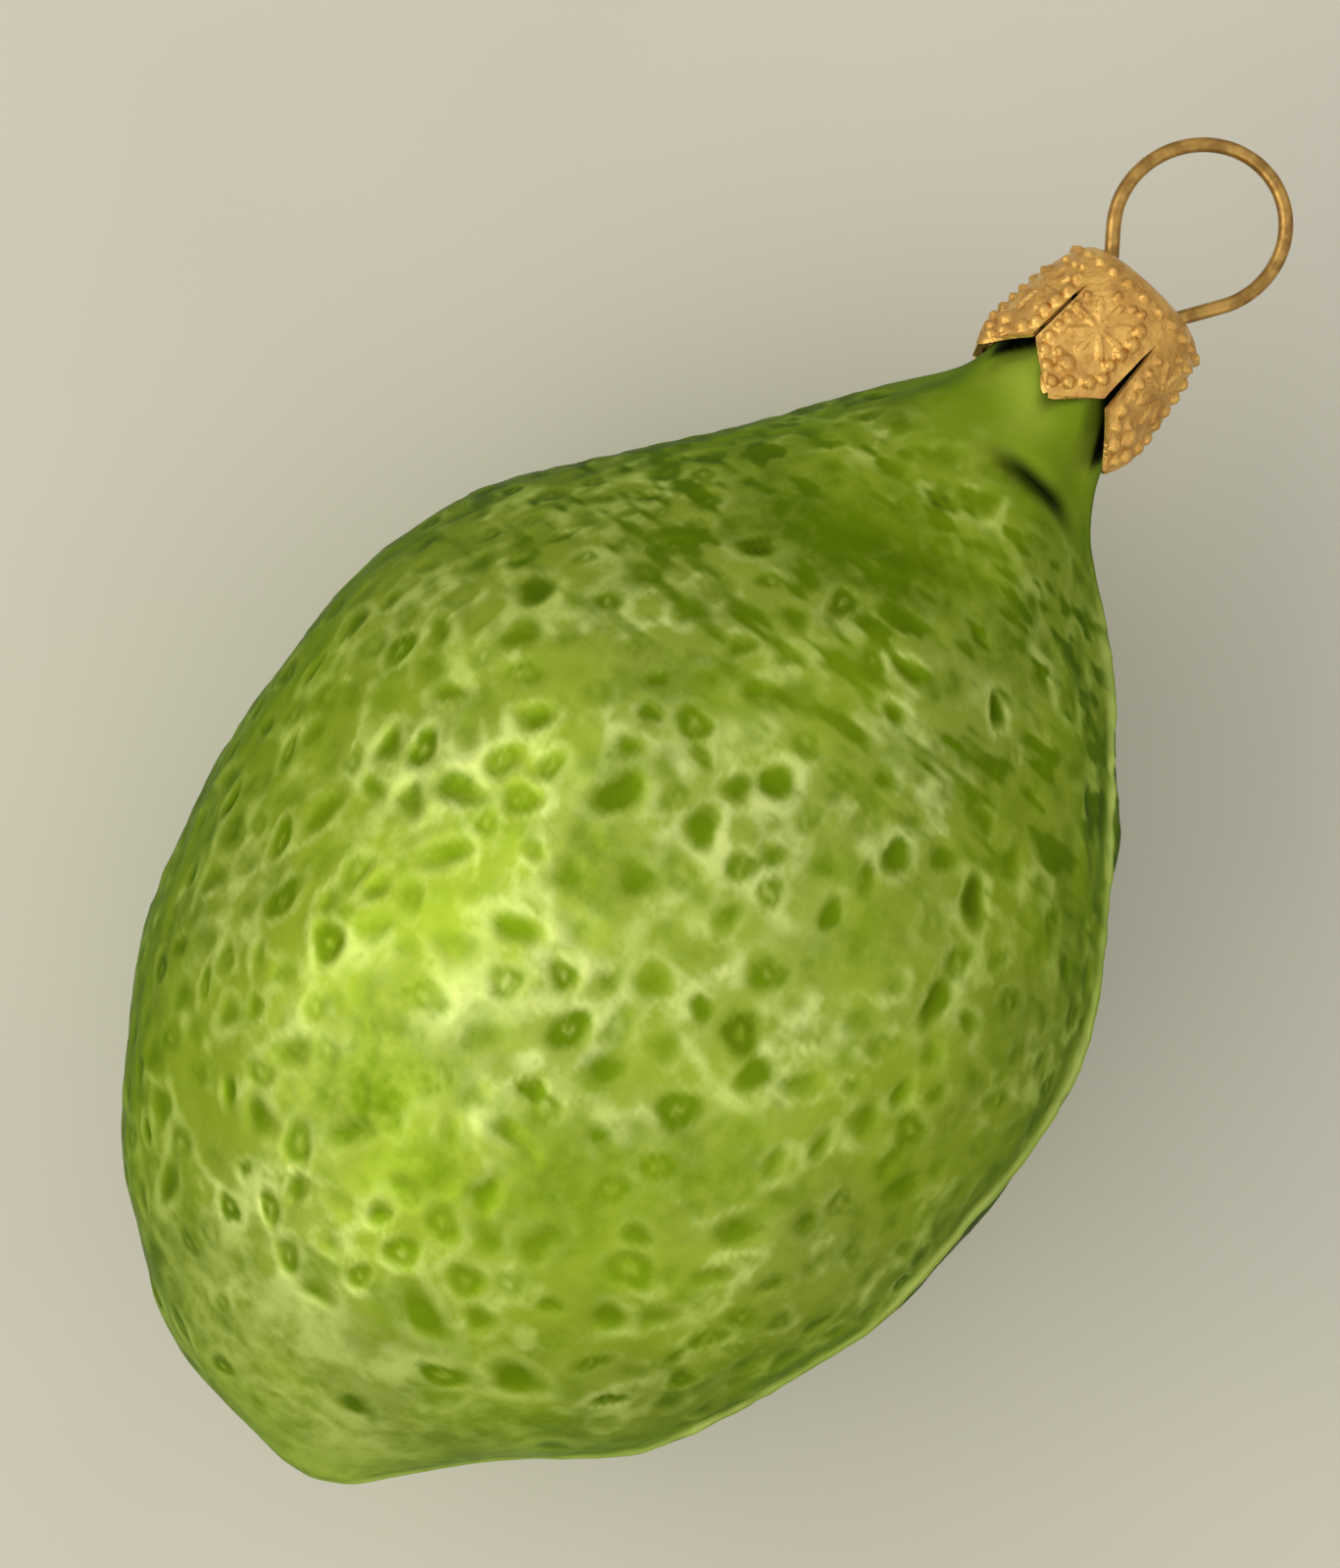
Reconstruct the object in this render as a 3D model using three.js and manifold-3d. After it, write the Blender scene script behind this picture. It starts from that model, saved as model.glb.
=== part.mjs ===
// A blown-glass lime: a hollow glass fruit blown in a two-part mould, the stamped metal crown cap
// that closes its open neck, and the spring wire whose loop it hangs from.
// Millimetres. The lime lies on its side. +X runs along the fruit from the blossom end to the
// hanger, +Z is up, and the origin is the middle of the small flat spot that it rests on.
import * as THREE from "three";
import { mergeVertices } from "three/addons/utils/BufferGeometryUtils.js";
import Module from "manifold-3d";

const wasm = await Module();
wasm.setup();

const degrees = THREE.MathUtils.degToRad;
const TURN = 2 * Math.PI;

// Driving dimensions of the glass
const FRUIT_LENGTH = 76.3; // from the cap's top plate to the tip of the blossom end
const BODY_RADIUS = 23.8; // half of the width across the fullest part
const DEPTH_SHARE = 0.97; // the fruit is slightly flatter at right angles to the mould's seam
const BEND = 2.9; // how far the centre line bows out towards the fuller cheek, +Y
const GLASS_WALL = 1.15;
const NECK_WALL = 0.75;

// How the lime lies: rolled and pitched until its middle of mass is over the flat spot
const ROLL = degrees(-6);
const PITCH = degrees(1.5);
const REST_ALONG = 41.9; // from the cap's top plate to the spot, along X
const REST_ACROSS = 2.65; // from the straight axis to the spot, along Y
const REST_HEIGHT = 21.93; // from the straight axis down to the spot, which cuts the round skin flat

// Driving dimensions of the cap and the wire
const CAP_RADIUS = 5.1;
const CAP_HEIGHT = 8.3; // from the top plate to the flaps' points
const SHEET = 0.35; // thickness of the stamped sheet
const CAP_LEAN = degrees(-9.3); // the cap sits askew on the neck, with its outer end towards -Y
const CAP_SHIFT = 0.17; // and its top plate's middle is this far to the +Y side of the centre line
const FLAPS = 6;
const WIRE_RADIUS = 0.4;
const LOOP_RADIUS = 4.5; // of the loop's centre line
const LOOP_RISE = 4.4; // the loop's centre above the top plate
const LOOP_LEAN = 0.05; // the loop is bent a little to the +Y side
const LOOP_OVAL = 0.028; // the loop is bent this share longer than round
const LOOP_OVAL_TURN = degrees(-23); // and its long way points this far from the cap's axis
const HOLE_SPREAD = 2.25; // each wire hole's distance from the cap's axis
const HOLE_RADIUS = 0.85;

// The centre line: share of the length from the cap, and sideways place as a share of the bend
const CENTRE_LINE = [
  [-0.008, -0.42],
  [0.105, -0.01],
  [0.2, 0.27],
  [0.36, 0.5],
  [0.54, 0.84],
  [0.7, 1.12],
  [0.82, 1.09],
  [0.915, 0.88],
  [1.0, 0.33],
];

// The profile: share of the length along the centre line, and share of the body's radius
const PROFILE = [
  [0.015, 0.163],
  [0.06, 0.165],
  [0.1, 0.18],
  [0.137, 0.225],
  [0.205, 0.4],
  [0.275, 0.601],
  [0.345, 0.773],
  [0.41, 0.905],
  [0.475, 0.984],
  [0.55, 0.998],
  [0.645, 0.972],
  [0.72, 0.922],
  [0.79, 0.827],
  [0.858, 0.69],
  [0.9, 0.554],
  [0.93, 0.434],
  [0.948, 0.349],
  [0.965, 0.259],
  [0.982, 0.156],
  [0.994, 0.081],
  [1.0, 0.0],
];

// Skin relief
const PIT_DEPTH = 0.55;
const PIT_START = 0.2; // pits begin past the smooth neck, as a share of the length
const PIT_END = 0.95; // and stop before the smooth blossom end
const SMOOTH_SPOT = 9; // no pits within this distance of the rest spot
const RIB_COUNT = 6;
const RIB_HEIGHT = 0.22; // the puckered ribs round the neck
const RIPPLE_HEIGHT = 0.16; // broad unevenness of the cheeks
const SEAM_HEIGHT = 0.16; // the faint ridge where the mould's halves met
const SEAM_WIDTH = 0.9;
const SEAM_ANGLE = degrees(-5.5); // from +Y; the other half of the seam is straight opposite
const NET_RISE = 0.05; // the net between the pits stands a little proud
const NET_JITTER = 0.42; // how far a point strays, as a share of the net's spacing
const OUTER_COLUMNS = 63; // a multiple of three, because every third point of the net is a pit
const INNER_COLUMNS = 24;

// The short fold that runs part of the way round the neck
const CREASE = { along: 0.152, angle: degrees(112), span: degrees(24), width: 0.9, depth: 0.55 };

// Places of the larger swellings and hollows: share of the length, angle from +Y, height, reach
const SWELLINGS = [
  { along: 0.37, angle: degrees(6), height: 0.42, reach: 5.5 },
  { along: 0.27, angle: degrees(0), height: -0.48, reach: 5.0 },
  { along: 0.175, angle: degrees(0), height: 0.25, reach: 4.0 },
  { along: 0.172, angle: degrees(184), height: -0.45, reach: 3.5 },
  { along: 0.225, angle: degrees(176), height: 0.76, reach: 4.0 },
  { along: 0.31, angle: degrees(182), height: 0.55, reach: 4.0 },
  { along: 0.385, angle: degrees(182), height: -0.55, reach: 5.0 },
  { along: 0.4, angle: degrees(215), height: 0.3, reach: 7.0 },
  { along: 0.5, angle: degrees(120), height: 0.3, reach: 8.0 },
  { along: 0.66, angle: degrees(60), height: 0.25, reach: 7.0 },
  { along: 0.62, angle: degrees(250), height: 0.25, reach: 8.0 },
  { along: 0.9, angle: degrees(186), height: 0.5, reach: 6.0 },
  { along: 0.945, angle: degrees(2), height: 0.33, reach: 4.0 },
];

// A small repeatable random number source, so that the skin is the same every time
function seededRandom(seed) {
  let state = seed;
  return () => {
    state = (Math.imul(state, 1664525) + 1013904223) >>> 0;
    return state / 2 ** 32;
  };
}

const smoothstep = THREE.MathUtils.smoothstep;

const centreLine = new THREE.CatmullRomCurve3(
  CENTRE_LINE.map(([along, side]) => new THREE.Vector3(-along * FRUIT_LENGTH, side * BEND, 0)),
);

const profileCurve = new THREE.SplineCurve(
  PROFILE.map(([along, radius]) => new THREE.Vector2(along * FRUIT_LENGTH, radius * BODY_RADIUS)),
);

// From the fruit's own axes, with X at the cap's top plate, to where it lies at rest
const restPlace = new THREE.Matrix4()
  .makeTranslation(REST_ALONG, -REST_ACROSS, REST_HEIGHT)
  .multiply(new THREE.Matrix4().makeRotationY(PITCH))
  .multiply(new THREE.Matrix4().makeRotationX(ROLL));
const restPlaceBack = restPlace.clone().invert();

// A closed manifold-3d solid from a three.js geometry
function solidOf(geometry) {
  const bare = geometry.index ? geometry.toNonIndexed() : geometry.clone();
  for (const name of Object.keys(bare.attributes)) {
    if (name !== "position") bare.deleteAttribute(name);
  }
  const merged = mergeVertices(bare, 1e-4);
  return new wasm.Manifold(
    new wasm.Mesh({
      numProp: 3,
      vertProperties: merged.attributes.position.array,
      triVerts: new Uint32Array(merged.index.array),
    }),
  );
}

function geometryOf(solid) {
  const mesh = solid.getMesh();
  const geometry = new THREE.BufferGeometry();
  geometry.setAttribute("position", new THREE.BufferAttribute(mesh.vertProperties, 3));
  geometry.setIndex(new THREE.BufferAttribute(mesh.triVerts, 1));
  geometry.computeVertexNormals();
  return geometry;
}

// A geometry from points and a list of triangles that hold point numbers
function geometryFrom(points, triangles) {
  const geometry = new THREE.BufferGeometry().setFromPoints(points);
  geometry.setIndex(triangles.flat());
  return geometry;
}

// A point at a distance from the centre line, square to it, at an angle from +Y towards +Z
function pointAround(distance, radius, angle) {
  const share = THREE.MathUtils.clamp(distance / FRUIT_LENGTH, 0, 1);
  const centre = centreLine.getPointAt(share);
  const ahead = centreLine.getTangentAt(share);
  const across = new THREE.Vector3(ahead.y, -ahead.x, 0);
  return centre
    .addScaledVector(across, radius * Math.cos(angle))
    .add(new THREE.Vector3(0, 0, radius * DEPTH_SHARE * Math.sin(angle)));
}

// Profile stations whose spacing follows the local girth, so that the skin's mesh stays even
function stations(columns, closest, widest) {
  const fine = profileCurve.getPoints(1200);
  const places = [fine[0]];
  let travelled = 0;
  for (let i = 1; i < fine.length - 1; i += 1) {
    const spacing = (fine[i].y * TURN) / columns;
    travelled += fine[i].distanceTo(fine[i - 1]) / THREE.MathUtils.clamp(spacing * 0.87, closest, widest);
    if (travelled >= 1) {
      places.push(fine[i]);
      travelled -= 1;
    }
  }
  return places;
}

// Angle from one direction to another, the short way round
function angleBetween(a, b) {
  const gap = Math.abs(a - b) % TURN;
  return Math.min(gap, TURN - gap);
}

// Height of the broad relief: swellings, the neck's ribs, the crease beside them and the seam
function broadRelief(distance, radius, angle) {
  const share = distance / FRUIT_LENGTH;
  let height = 0;
  for (const swell of SWELLINGS) {
    const alongGap = distance - swell.along * FRUIT_LENGTH;
    const aroundGap = angleBetween(angle, swell.angle) * Math.max(radius, 1);
    const away = (alongGap ** 2 + aroundGap ** 2) / swell.reach ** 2;
    height += swell.height * Math.exp(-2 * away);
  }
  const ripple = Math.sin(3 * angle + 9 * share) * Math.sin(TURN * 2.4 * share + angle);
  height += RIPPLE_HEIGHT * ripple * smoothstep(share, 0.25, 0.4) * (1 - smoothstep(share, 0.85, 0.97));
  const ribWindow = smoothstep(share, 0.1, 0.15) * (1 - smoothstep(share, 0.19, 0.3));
  height += RIB_HEIGHT * ribWindow * Math.cos(RIB_COUNT * angle + 0.6);
  const creaseAlong = Math.exp(-(((distance - CREASE.along * FRUIT_LENGTH) / CREASE.width) ** 2));
  const creaseAround = Math.exp(-((angleBetween(angle, CREASE.angle) / CREASE.span) ** 4));
  height -= CREASE.depth * creaseAlong * creaseAround;
  const seams = [SEAM_ANGLE, SEAM_ANGLE + Math.PI];
  const seamGap = Math.min(...seams.map((seam) => angleBetween(angle, seam))) * radius;
  height += SEAM_HEIGHT * Math.exp(-((seamGap / SEAM_WIDTH) ** 2)) * smoothstep(share, 0.12, 0.2);
  return height;
}

// A skin from stations and columns. Odd rows stand half a column on, so that the points make an
// even triangle net. placeAt gives the point for a row, a column and the nominal angle.
function skin(places, columns, tip, placeAt) {
  const points = [];
  const triangles = [];
  const last = places.length - 1;
  places.forEach((place, row) => {
    for (let column = 0; column < columns; column += 1) {
      const angle = ((column + (row % 2) / 2) * TURN) / columns;
      points.push(placeAt(place, row, column, angle));
    }
  });
  const at = (row, column) => row * columns + (column % columns);
  for (let row = 0; row < last; row += 1) {
    for (let column = 0; column < columns; column += 1) {
      const [a, b] = [at(row, column), at(row, column + 1)];
      const [c, d] = [at(row + 1, column), at(row + 1, column + 1)];
      triangles.push(...(row % 2 ? [[a, d, b], [a, c, d]] : [[a, c, b], [b, c, d]]));
    }
  }
  const tipNumber = points.push(tip) - 1;
  const topNumber = points.push(pointAround(places[0].x, 0, 0)) - 1;
  for (let column = 0; column < columns; column += 1) {
    triangles.push([at(last, column + 1), at(last, column), tipNumber]);
    triangles.push([at(0, column), at(0, column + 1), topNumber]);
  }
  return geometryFrom(points, triangles);
}

// The fruit's outside: every third point of the net is sunk into a pit, at a random depth
function outerSkin() {
  const random = seededRandom(20);
  const spot = new THREE.Vector3(0, 0, 0).applyMatrix4(restPlaceBack);
  const places = stations(OUTER_COLUMNS, 1.6, 2.2);
  const tip = pointAround(FRUIT_LENGTH, 0, 0);
  const columnAngle = TURN / OUTER_COLUMNS;
  return skin(places, OUTER_COLUMNS, tip, (place, row, column, angle) => {
    const share = place.x / FRUIT_LENGTH;
    const pastNeck = smoothstep(share, PIT_START, PIT_START + 0.1);
    const pitted = pastNeck * (1 - smoothstep(share, PIT_END - 0.06, PIT_END));
    const jitter = NET_JITTER * pitted * columnAngle;
    const placedAngle = angle + (random() - 0.5) * jitter;
    const placedAlong = place.x + (random() - 0.5) * jitter * place.y * 0.6;
    const depth = PIT_DEPTH * (0.45 + 0.75 * random());
    const bare = pointAround(placedAlong, place.y, placedAngle);
    const diagonal = column - Math.floor(row / 2) - row; // the same for all points of a slanting line
    const isPit = (diagonal + 3 * places.length) % 3 === 0;
    const smoothSpot = smoothstep(bare.distanceTo(spot), SMOOTH_SPOT - 2, SMOOTH_SPOT + 3);
    const sunk = isPit ? -depth * pitted * smoothSpot : NET_RISE * pitted;
    const radius = place.y + broadRelief(placedAlong, place.y, placedAngle) + sunk;
    const point = pointAround(placedAlong, radius, placedAngle).applyMatrix4(restPlace);
    point.z = Math.max(point.z, 0); // the flat spot
    return point.applyMatrix4(restPlaceBack);
  });
}

// The hollow inside, which runs out past the neck's rim so that cutting it leaves the neck open
function innerSkin() {
  const places = stations(INNER_COLUMNS, 2.5, 6);
  const inside = places.filter((place) => place.y > 1.6 * GLASS_WALL && place.x < 0.985 * FRUIT_LENGTH);
  const rim = new THREE.Vector2(0.2, inside[0].y);
  const tip = pointAround(FRUIT_LENGTH - 1.4 * GLASS_WALL, 0, 0);
  const endStart = 0.9 * FRUIT_LENGTH; // past here the wall slopes, so the inside also draws back
  return skin([rim, ...inside.slice(1)], INNER_COLUMNS, tip, (place, row, column, angle) => {
    const drawnBack = 0.75 * GLASS_WALL * smoothstep(place.x, endStart, FRUIT_LENGTH);
    const pastNeck = smoothstep(place.x / FRUIT_LENGTH, 0.1, PIT_START);
    const wall = NECK_WALL + (GLASS_WALL - NECK_WALL) * pastNeck;
    return pointAround(place.x - drawnBack, place.y - wall, angle);
  });
}

function glassBody() {
  const outside = solidOf(outerSkin());
  const inside = solidOf(innerSkin());
  return geometryOf(outside.subtract(inside));
}

// The crown cap, in its own axes: +X out along the neck, origin at the middle of the top plate
const CAP_PROFILE = [
  // distance from the axis, and depth below the top plate's outer face
  [0.0, 0.0],
  [3.2, 0.06],
  [4.05, 0.45],
  [4.75, 1.1],
  [5.06, 1.9],
  [5.1, 2.5],
  [5.1, 4.4],
  [5.13, 6.45],
  [5.2, 7.4],
  [5.33, CAP_HEIGHT],
];
const NOTCH_ROW = 5; // below this row of the profile the flaps are cut apart
const CORNER_DEPTH = 6.45; // where the flaps' straight sides end and their points begin
const FLAP_COLUMNS = 6;

const BEAD_RADIUS = 0.46;
const BEAD_HEIGHT = 0.42;
const EDGE_BEADS = [
  // distance to each side of the flap's middle line, and depth below the top plate
  [1.98, 3.0],
  [2.02, 4.15],
  [1.95, 5.3],
  [1.5, 6.25],
  [0.88, 6.95],
  [0.0, 7.6],
];
const RING_BEADS = 24; // round the edge of the top plate
const RING_RADIUS = 3.75;
const RING_DEPTH = 0.2;
const RING_SLOPE = degrees(60); // the beads face out from the plate's rounded edge
const PETALS = 8;
const PETAL = { length: 1.12, width: 0.3, height: 0.2 };
const PETAL_RING = 0.78; // from the blossom's middle to the middle of a petal
const BLOSSOM_DEPTH = 3.6;

// Half the angle that a flap spans at a depth: nearly touching its neighbours, then a point
function flapHalfAngle(row) {
  const full = Math.PI / FLAPS;
  if (row <= NOTCH_ROW) return full;
  const depth = CAP_PROFILE[row][1];
  const sides = full - degrees(1.5) * smoothstep(depth, 2.6, 4.3);
  const towardsPoint = (depth - CORNER_DEPTH) / (CAP_HEIGHT - CORNER_DEPTH);
  return depth <= CORNER_DEPTH ? sides : sides * (1 - 0.86 * towardsPoint);
}

// A point on the cap's sheet; inset is 0 on the outer face and SHEET on the inner one
function capPoint(row, angle, inset) {
  const [radius, depth] = CAP_PROFILE[row];
  const downwards = [1, 1, 0.8][row] ?? 0; // the plate is thickened downwards, the sides inwards
  const inwards = row < 2 ? 0 : 1;
  const across = radius - inwards * inset;
  return new THREE.Vector3(-depth - downwards * inset, across * Math.cos(angle), across * Math.sin(angle));
}

// The plain sheet of the cap: six equal sectors that share their edges above the notches
function capSheet() {
  const points = [];
  const triangles = [];
  const quad = (a, b, c, d) => {
    const first = points.length;
    points.push(a, b, c, d);
    triangles.push([first, first + 1, first + 2], [first, first + 2, first + 3]);
  };
  const lastRow = CAP_PROFILE.length - 1;
  for (let flap = 0; flap < FLAPS; flap += 1) {
    const middle = Math.PI / 2 + (flap * TURN) / FLAPS; // the first flap faces +Z
    const at = (row, column, inset) => {
      const side = (2 * column) / FLAP_COLUMNS - 1;
      return capPoint(row, middle + side * flapHalfAngle(row), inset);
    };
    for (let row = 0; row < lastRow; row += 1) {
      for (let column = 0; column < FLAP_COLUMNS; column += 1) {
        quad(at(row, column, 0), at(row + 1, column, 0), at(row + 1, column + 1, 0), at(row, column + 1, 0));
        quad(
          at(row, column, SHEET),
          at(row, column + 1, SHEET),
          at(row + 1, column + 1, SHEET),
          at(row + 1, column, SHEET),
        );
      }
      if (row >= NOTCH_ROW) {
        quad(at(row, 0, 0), at(row, 0, SHEET), at(row + 1, 0, SHEET), at(row + 1, 0, 0));
        const end = FLAP_COLUMNS;
        quad(at(row, end, 0), at(row + 1, end, 0), at(row + 1, end, SHEET), at(row, end, SHEET));
      }
    }
    for (let column = 0; column < FLAP_COLUMNS; column += 1) {
      quad(
        at(lastRow, column, 0),
        at(lastRow, column, SHEET),
        at(lastRow, column + 1, SHEET),
        at(lastRow, column + 1, 0),
      );
    }
  }
  const sheet = mergeVertices(geometryFrom(points, triangles), 1e-4);
  const corners = sheet.index.array;
  const kept = [];
  for (let i = 0; i < corners.length; i += 3) {
    const [a, b, c] = [corners[i], corners[i + 1], corners[i + 2]];
    if (a !== b && b !== c && a !== c) kept.push(a, b, c); // quads at the axis lose one triangle
  }
  sheet.setIndex(kept);
  return sheet;
}

// Places a small shape on a flap's outer face: its own +Z becomes the outward direction
function onFlap(geometry, flap, sideways, depth, turn, sink) {
  const middle = Math.PI / 2 + (flap * TURN) / FLAPS;
  const angle = middle + sideways / CAP_RADIUS;
  const outward = new THREE.Vector3(0, Math.cos(angle), Math.sin(angle));
  const down = new THREE.Vector3(-1, 0, 0);
  const across = new THREE.Vector3().crossVectors(outward, down);
  const place = new THREE.Matrix4().makeBasis(down, across, outward);
  place.multiply(new THREE.Matrix4().makeRotationZ(turn));
  place.setPosition(outward.multiplyScalar(CAP_RADIUS - sink).add(new THREE.Vector3(-depth, 0, 0)));
  return solidOf(geometry.clone().applyMatrix4(place));
}

// Embossing: beads along the edge of each flap, a blossom on its middle and a bead ring on top
function embossing() {
  const bead = new THREE.ConeGeometry(BEAD_RADIUS, BEAD_HEIGHT, 6).rotateX(Math.PI / 2);
  const petal = new THREE.OctahedronGeometry(1).scale(PETAL.length / 2, PETAL.width / 2, PETAL.height);
  const raised = [];
  for (let flap = 0; flap < FLAPS; flap += 1) {
    for (const [sideways, depth] of EDGE_BEADS) {
      for (const side of sideways ? [-sideways, sideways] : [0]) {
        raised.push(onFlap(bead, flap, side, depth, 0, -BEAD_HEIGHT / 8));
      }
    }
    for (let k = 0; k < PETALS; k += 1) {
      const turn = ((k + 0.25) * TURN) / PETALS;
      const [down, side] = [Math.cos(turn) * PETAL_RING, Math.sin(turn) * PETAL_RING];
      raised.push(onFlap(petal, flap, side, BLOSSOM_DEPTH + down, turn, PETAL.height / 6));
    }
  }
  for (let k = 0; k < RING_BEADS; k += 1) {
    const place = bead.clone().rotateY(RING_SLOPE).translate(-RING_DEPTH, 0, RING_RADIUS);
    raised.push(solidOf(place.rotateX((k * TURN) / RING_BEADS)));
  }
  return raised;
}

function crownCap() {
  let cap = solidOf(capSheet());
  cap = wasm.Manifold.union([cap, ...embossing()]);
  for (const side of [-1, 1]) {
    const hole = new THREE.CylinderGeometry(HOLE_RADIUS, HOLE_RADIUS, 8 * SHEET, 12);
    hole.rotateZ(Math.PI / 2).translate(0, side * HOLE_SPREAD, 0);
    cap = cap.subtract(solidOf(hole));
  }
  return geometryOf(cap);
}

// The spring wire: a round loop above the cap, drawn in at the holes and spread again in the neck
const ARC_END = degrees(128); // how far the loop's arc goes to each side of its top
const ARC_STEPS = 16;
const WIRE_STEPS = 60;
const LEG = [
  // distance out from the top plate, and distance to each side of the neck's axis
  [-14, 2.35],
  [-9, 2.2],
  [-4.5, 1.85],
  [-2.2, 1.62],
  [-1.0, 1.72],
  [-0.18, HOLE_SPREAD],
];

function hangerWire() {
  const loop = [];
  for (let k = 0; k <= ARC_STEPS; k += 1) {
    const angle = ARC_END * ((2 * k) / ARC_STEPS - 1);
    const radius = LOOP_RADIUS * (1 + LOOP_OVAL * Math.cos(2 * (angle - LOOP_OVAL_TURN)));
    const out = LOOP_RISE + radius * Math.cos(angle);
    loop.push(new THREE.Vector3(out, radius * Math.sin(angle) + LOOP_LEAN, 0));
  }
  const leg = LEG.map(([out, side]) => new THREE.Vector3(out, side, 0));
  const mirrored = leg.map((p) => new THREE.Vector3(p.x, -p.y, 0));
  const path = new THREE.CatmullRomCurve3([...mirrored, ...loop, ...leg.reverse()]);
  const section = new THREE.Shape().absarc(0, 0, WIRE_RADIUS, 0, TURN);
  return new THREE.ExtrudeGeometry(section, { steps: WIRE_STEPS, extrudePath: path, curveSegments: 4 });
}

function piece(name, geometry, colour, roughness, metalness) {
  const material = new THREE.MeshStandardMaterial({ color: colour, roughness, metalness });
  const mesh = new THREE.Mesh(geometry, material);
  mesh.name = name;
  return mesh;
}

const glass = piece("glass_body", glassBody(), 0x86a531, 0.4, 0.5);

// The cap and the wire share one axis. They are turned back by the roll, so that one flap
// and the loop's flat side face straight up while the lime lies at rest.
const hanger = new THREE.Group();
hanger.add(piece("crown_cap", crownCap(), 0xd9a84e, 0.35, 1.0));
hanger.add(piece("hanger_wire", hangerWire(), 0xb98a42, 0.3, 1.0));
hanger.position.copy(centreLine.getPointAt(0)).add(new THREE.Vector3(0, CAP_SHIFT, 0));
hanger.rotation.set(-ROLL, 0, CAP_LEAN, "ZYX");

const lime = new THREE.Group();
lime.add(glass, hanger);
lime.applyMatrix4(restPlace);

const part = new THREE.Group();
part.name = "glass_lime";
part.add(lime);

export default part;
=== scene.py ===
# %% [markdown]
# # A blown glass lime
# The real thing is a hanging ornament: a hollow glass lime, blown in a mould, silvered inside and
# lacquered a satin green outside. A stamped gold cap closes its neck, and a bent wire holds the cap
# on and makes the loop that it hangs from. This lesson dresses the three solid parts of the model
# in Blender. Each step has a few words first, then a short piece of code that prints what it made.

# %% [markdown]
# ## The solid model comes first
# The three parts already exist as plain solids at their real size. They are loaded as a fixed
# frame, and every finer piece is built in the same place. One could model by eye instead, but then
# the pretty part and the solid part would drift apart.

# %% Load the frame
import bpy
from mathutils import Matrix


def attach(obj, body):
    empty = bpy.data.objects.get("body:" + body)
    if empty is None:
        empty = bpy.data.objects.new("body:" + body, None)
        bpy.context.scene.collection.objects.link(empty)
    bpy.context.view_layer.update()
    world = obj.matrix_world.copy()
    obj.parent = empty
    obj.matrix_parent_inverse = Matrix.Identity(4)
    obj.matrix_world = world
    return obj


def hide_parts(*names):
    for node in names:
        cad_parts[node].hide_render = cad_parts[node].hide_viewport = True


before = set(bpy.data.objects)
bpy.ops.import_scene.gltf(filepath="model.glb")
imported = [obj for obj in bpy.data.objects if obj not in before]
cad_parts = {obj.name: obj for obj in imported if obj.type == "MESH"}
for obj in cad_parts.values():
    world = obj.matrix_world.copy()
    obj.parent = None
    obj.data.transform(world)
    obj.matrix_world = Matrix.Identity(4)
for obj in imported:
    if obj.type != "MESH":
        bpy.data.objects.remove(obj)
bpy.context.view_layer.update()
print("solid parts:", sorted(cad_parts))

# %% [markdown]
# ## Tools of the trade
# numpy does the shape work on whole lists of points at once, which is many times faster than a loop
# over vertices. Lengths are worked out in millimetres, as a glassblower would give them, and turned
# into Blender's metres only when a mesh is made.

# %% Libraries and units
import math

import bpy
import numpy as np
from mathutils import Matrix, Vector, noise
from mathutils.bvhtree import BVHTree

MM = 0.001
TURN = 2 * math.pi
dice = np.random.default_rng(20)
print("one millimetre is", MM, "of Blender's units")

# %% [markdown]
# ## The driving dimensions
# These few sizes are the ones that the solid parts were made from. Four of them belong to the cap's
# flaps, because the lacquer ends under their edge. The lime lies on its side, so a roll, a pitch
# and a move bring it from its own axes, with the cap's top plate at zero, to its place on the table.

# %% Sizes of the fruit and where it lies
FRUIT_LENGTH = 76.3
BODY_RADIUS = 23.8
DEPTH_SHARE = 0.97
BEND = 2.9
CAP_HEIGHT = 8.3
CORNER_DEPTH = 6.45
FLAPS = 6
WALL_TWIST = math.radians(2.8)
GLASS_WALL = 1.15
NECK_WALL = 0.75
ROLL = math.radians(-6)
PITCH = math.radians(1.5)
TOP_PLATE_PLACE = (41.9, -2.65, 21.93)
rest_place = (
    Matrix.Translation(TOP_PLATE_PLACE)
    @ Matrix.Rotation(PITCH, 4, "Y")
    @ Matrix.Rotation(ROLL, 4, "X")
)


def moved(points, place):
    """The points, moved and turned by a 4 by 4 matrix."""
    matrix = np.array(place)
    return points @ matrix[:3, :3].T + matrix[:3, 3]


print("the cap's top plate lies", round(rest_place.translation.x, 1), "mm from the rest spot")

# %% [markdown]
# ## Smooth curves through a few points
# The bowed centre line and the swelling outline of the fruit are each given by a handful of points.
# A Catmull-Rom curve passes through every one of them, so the points can be read off the real thing.
# A Bezier curve would need handles as well, and a polygon would show its corners in the gloss.

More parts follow.
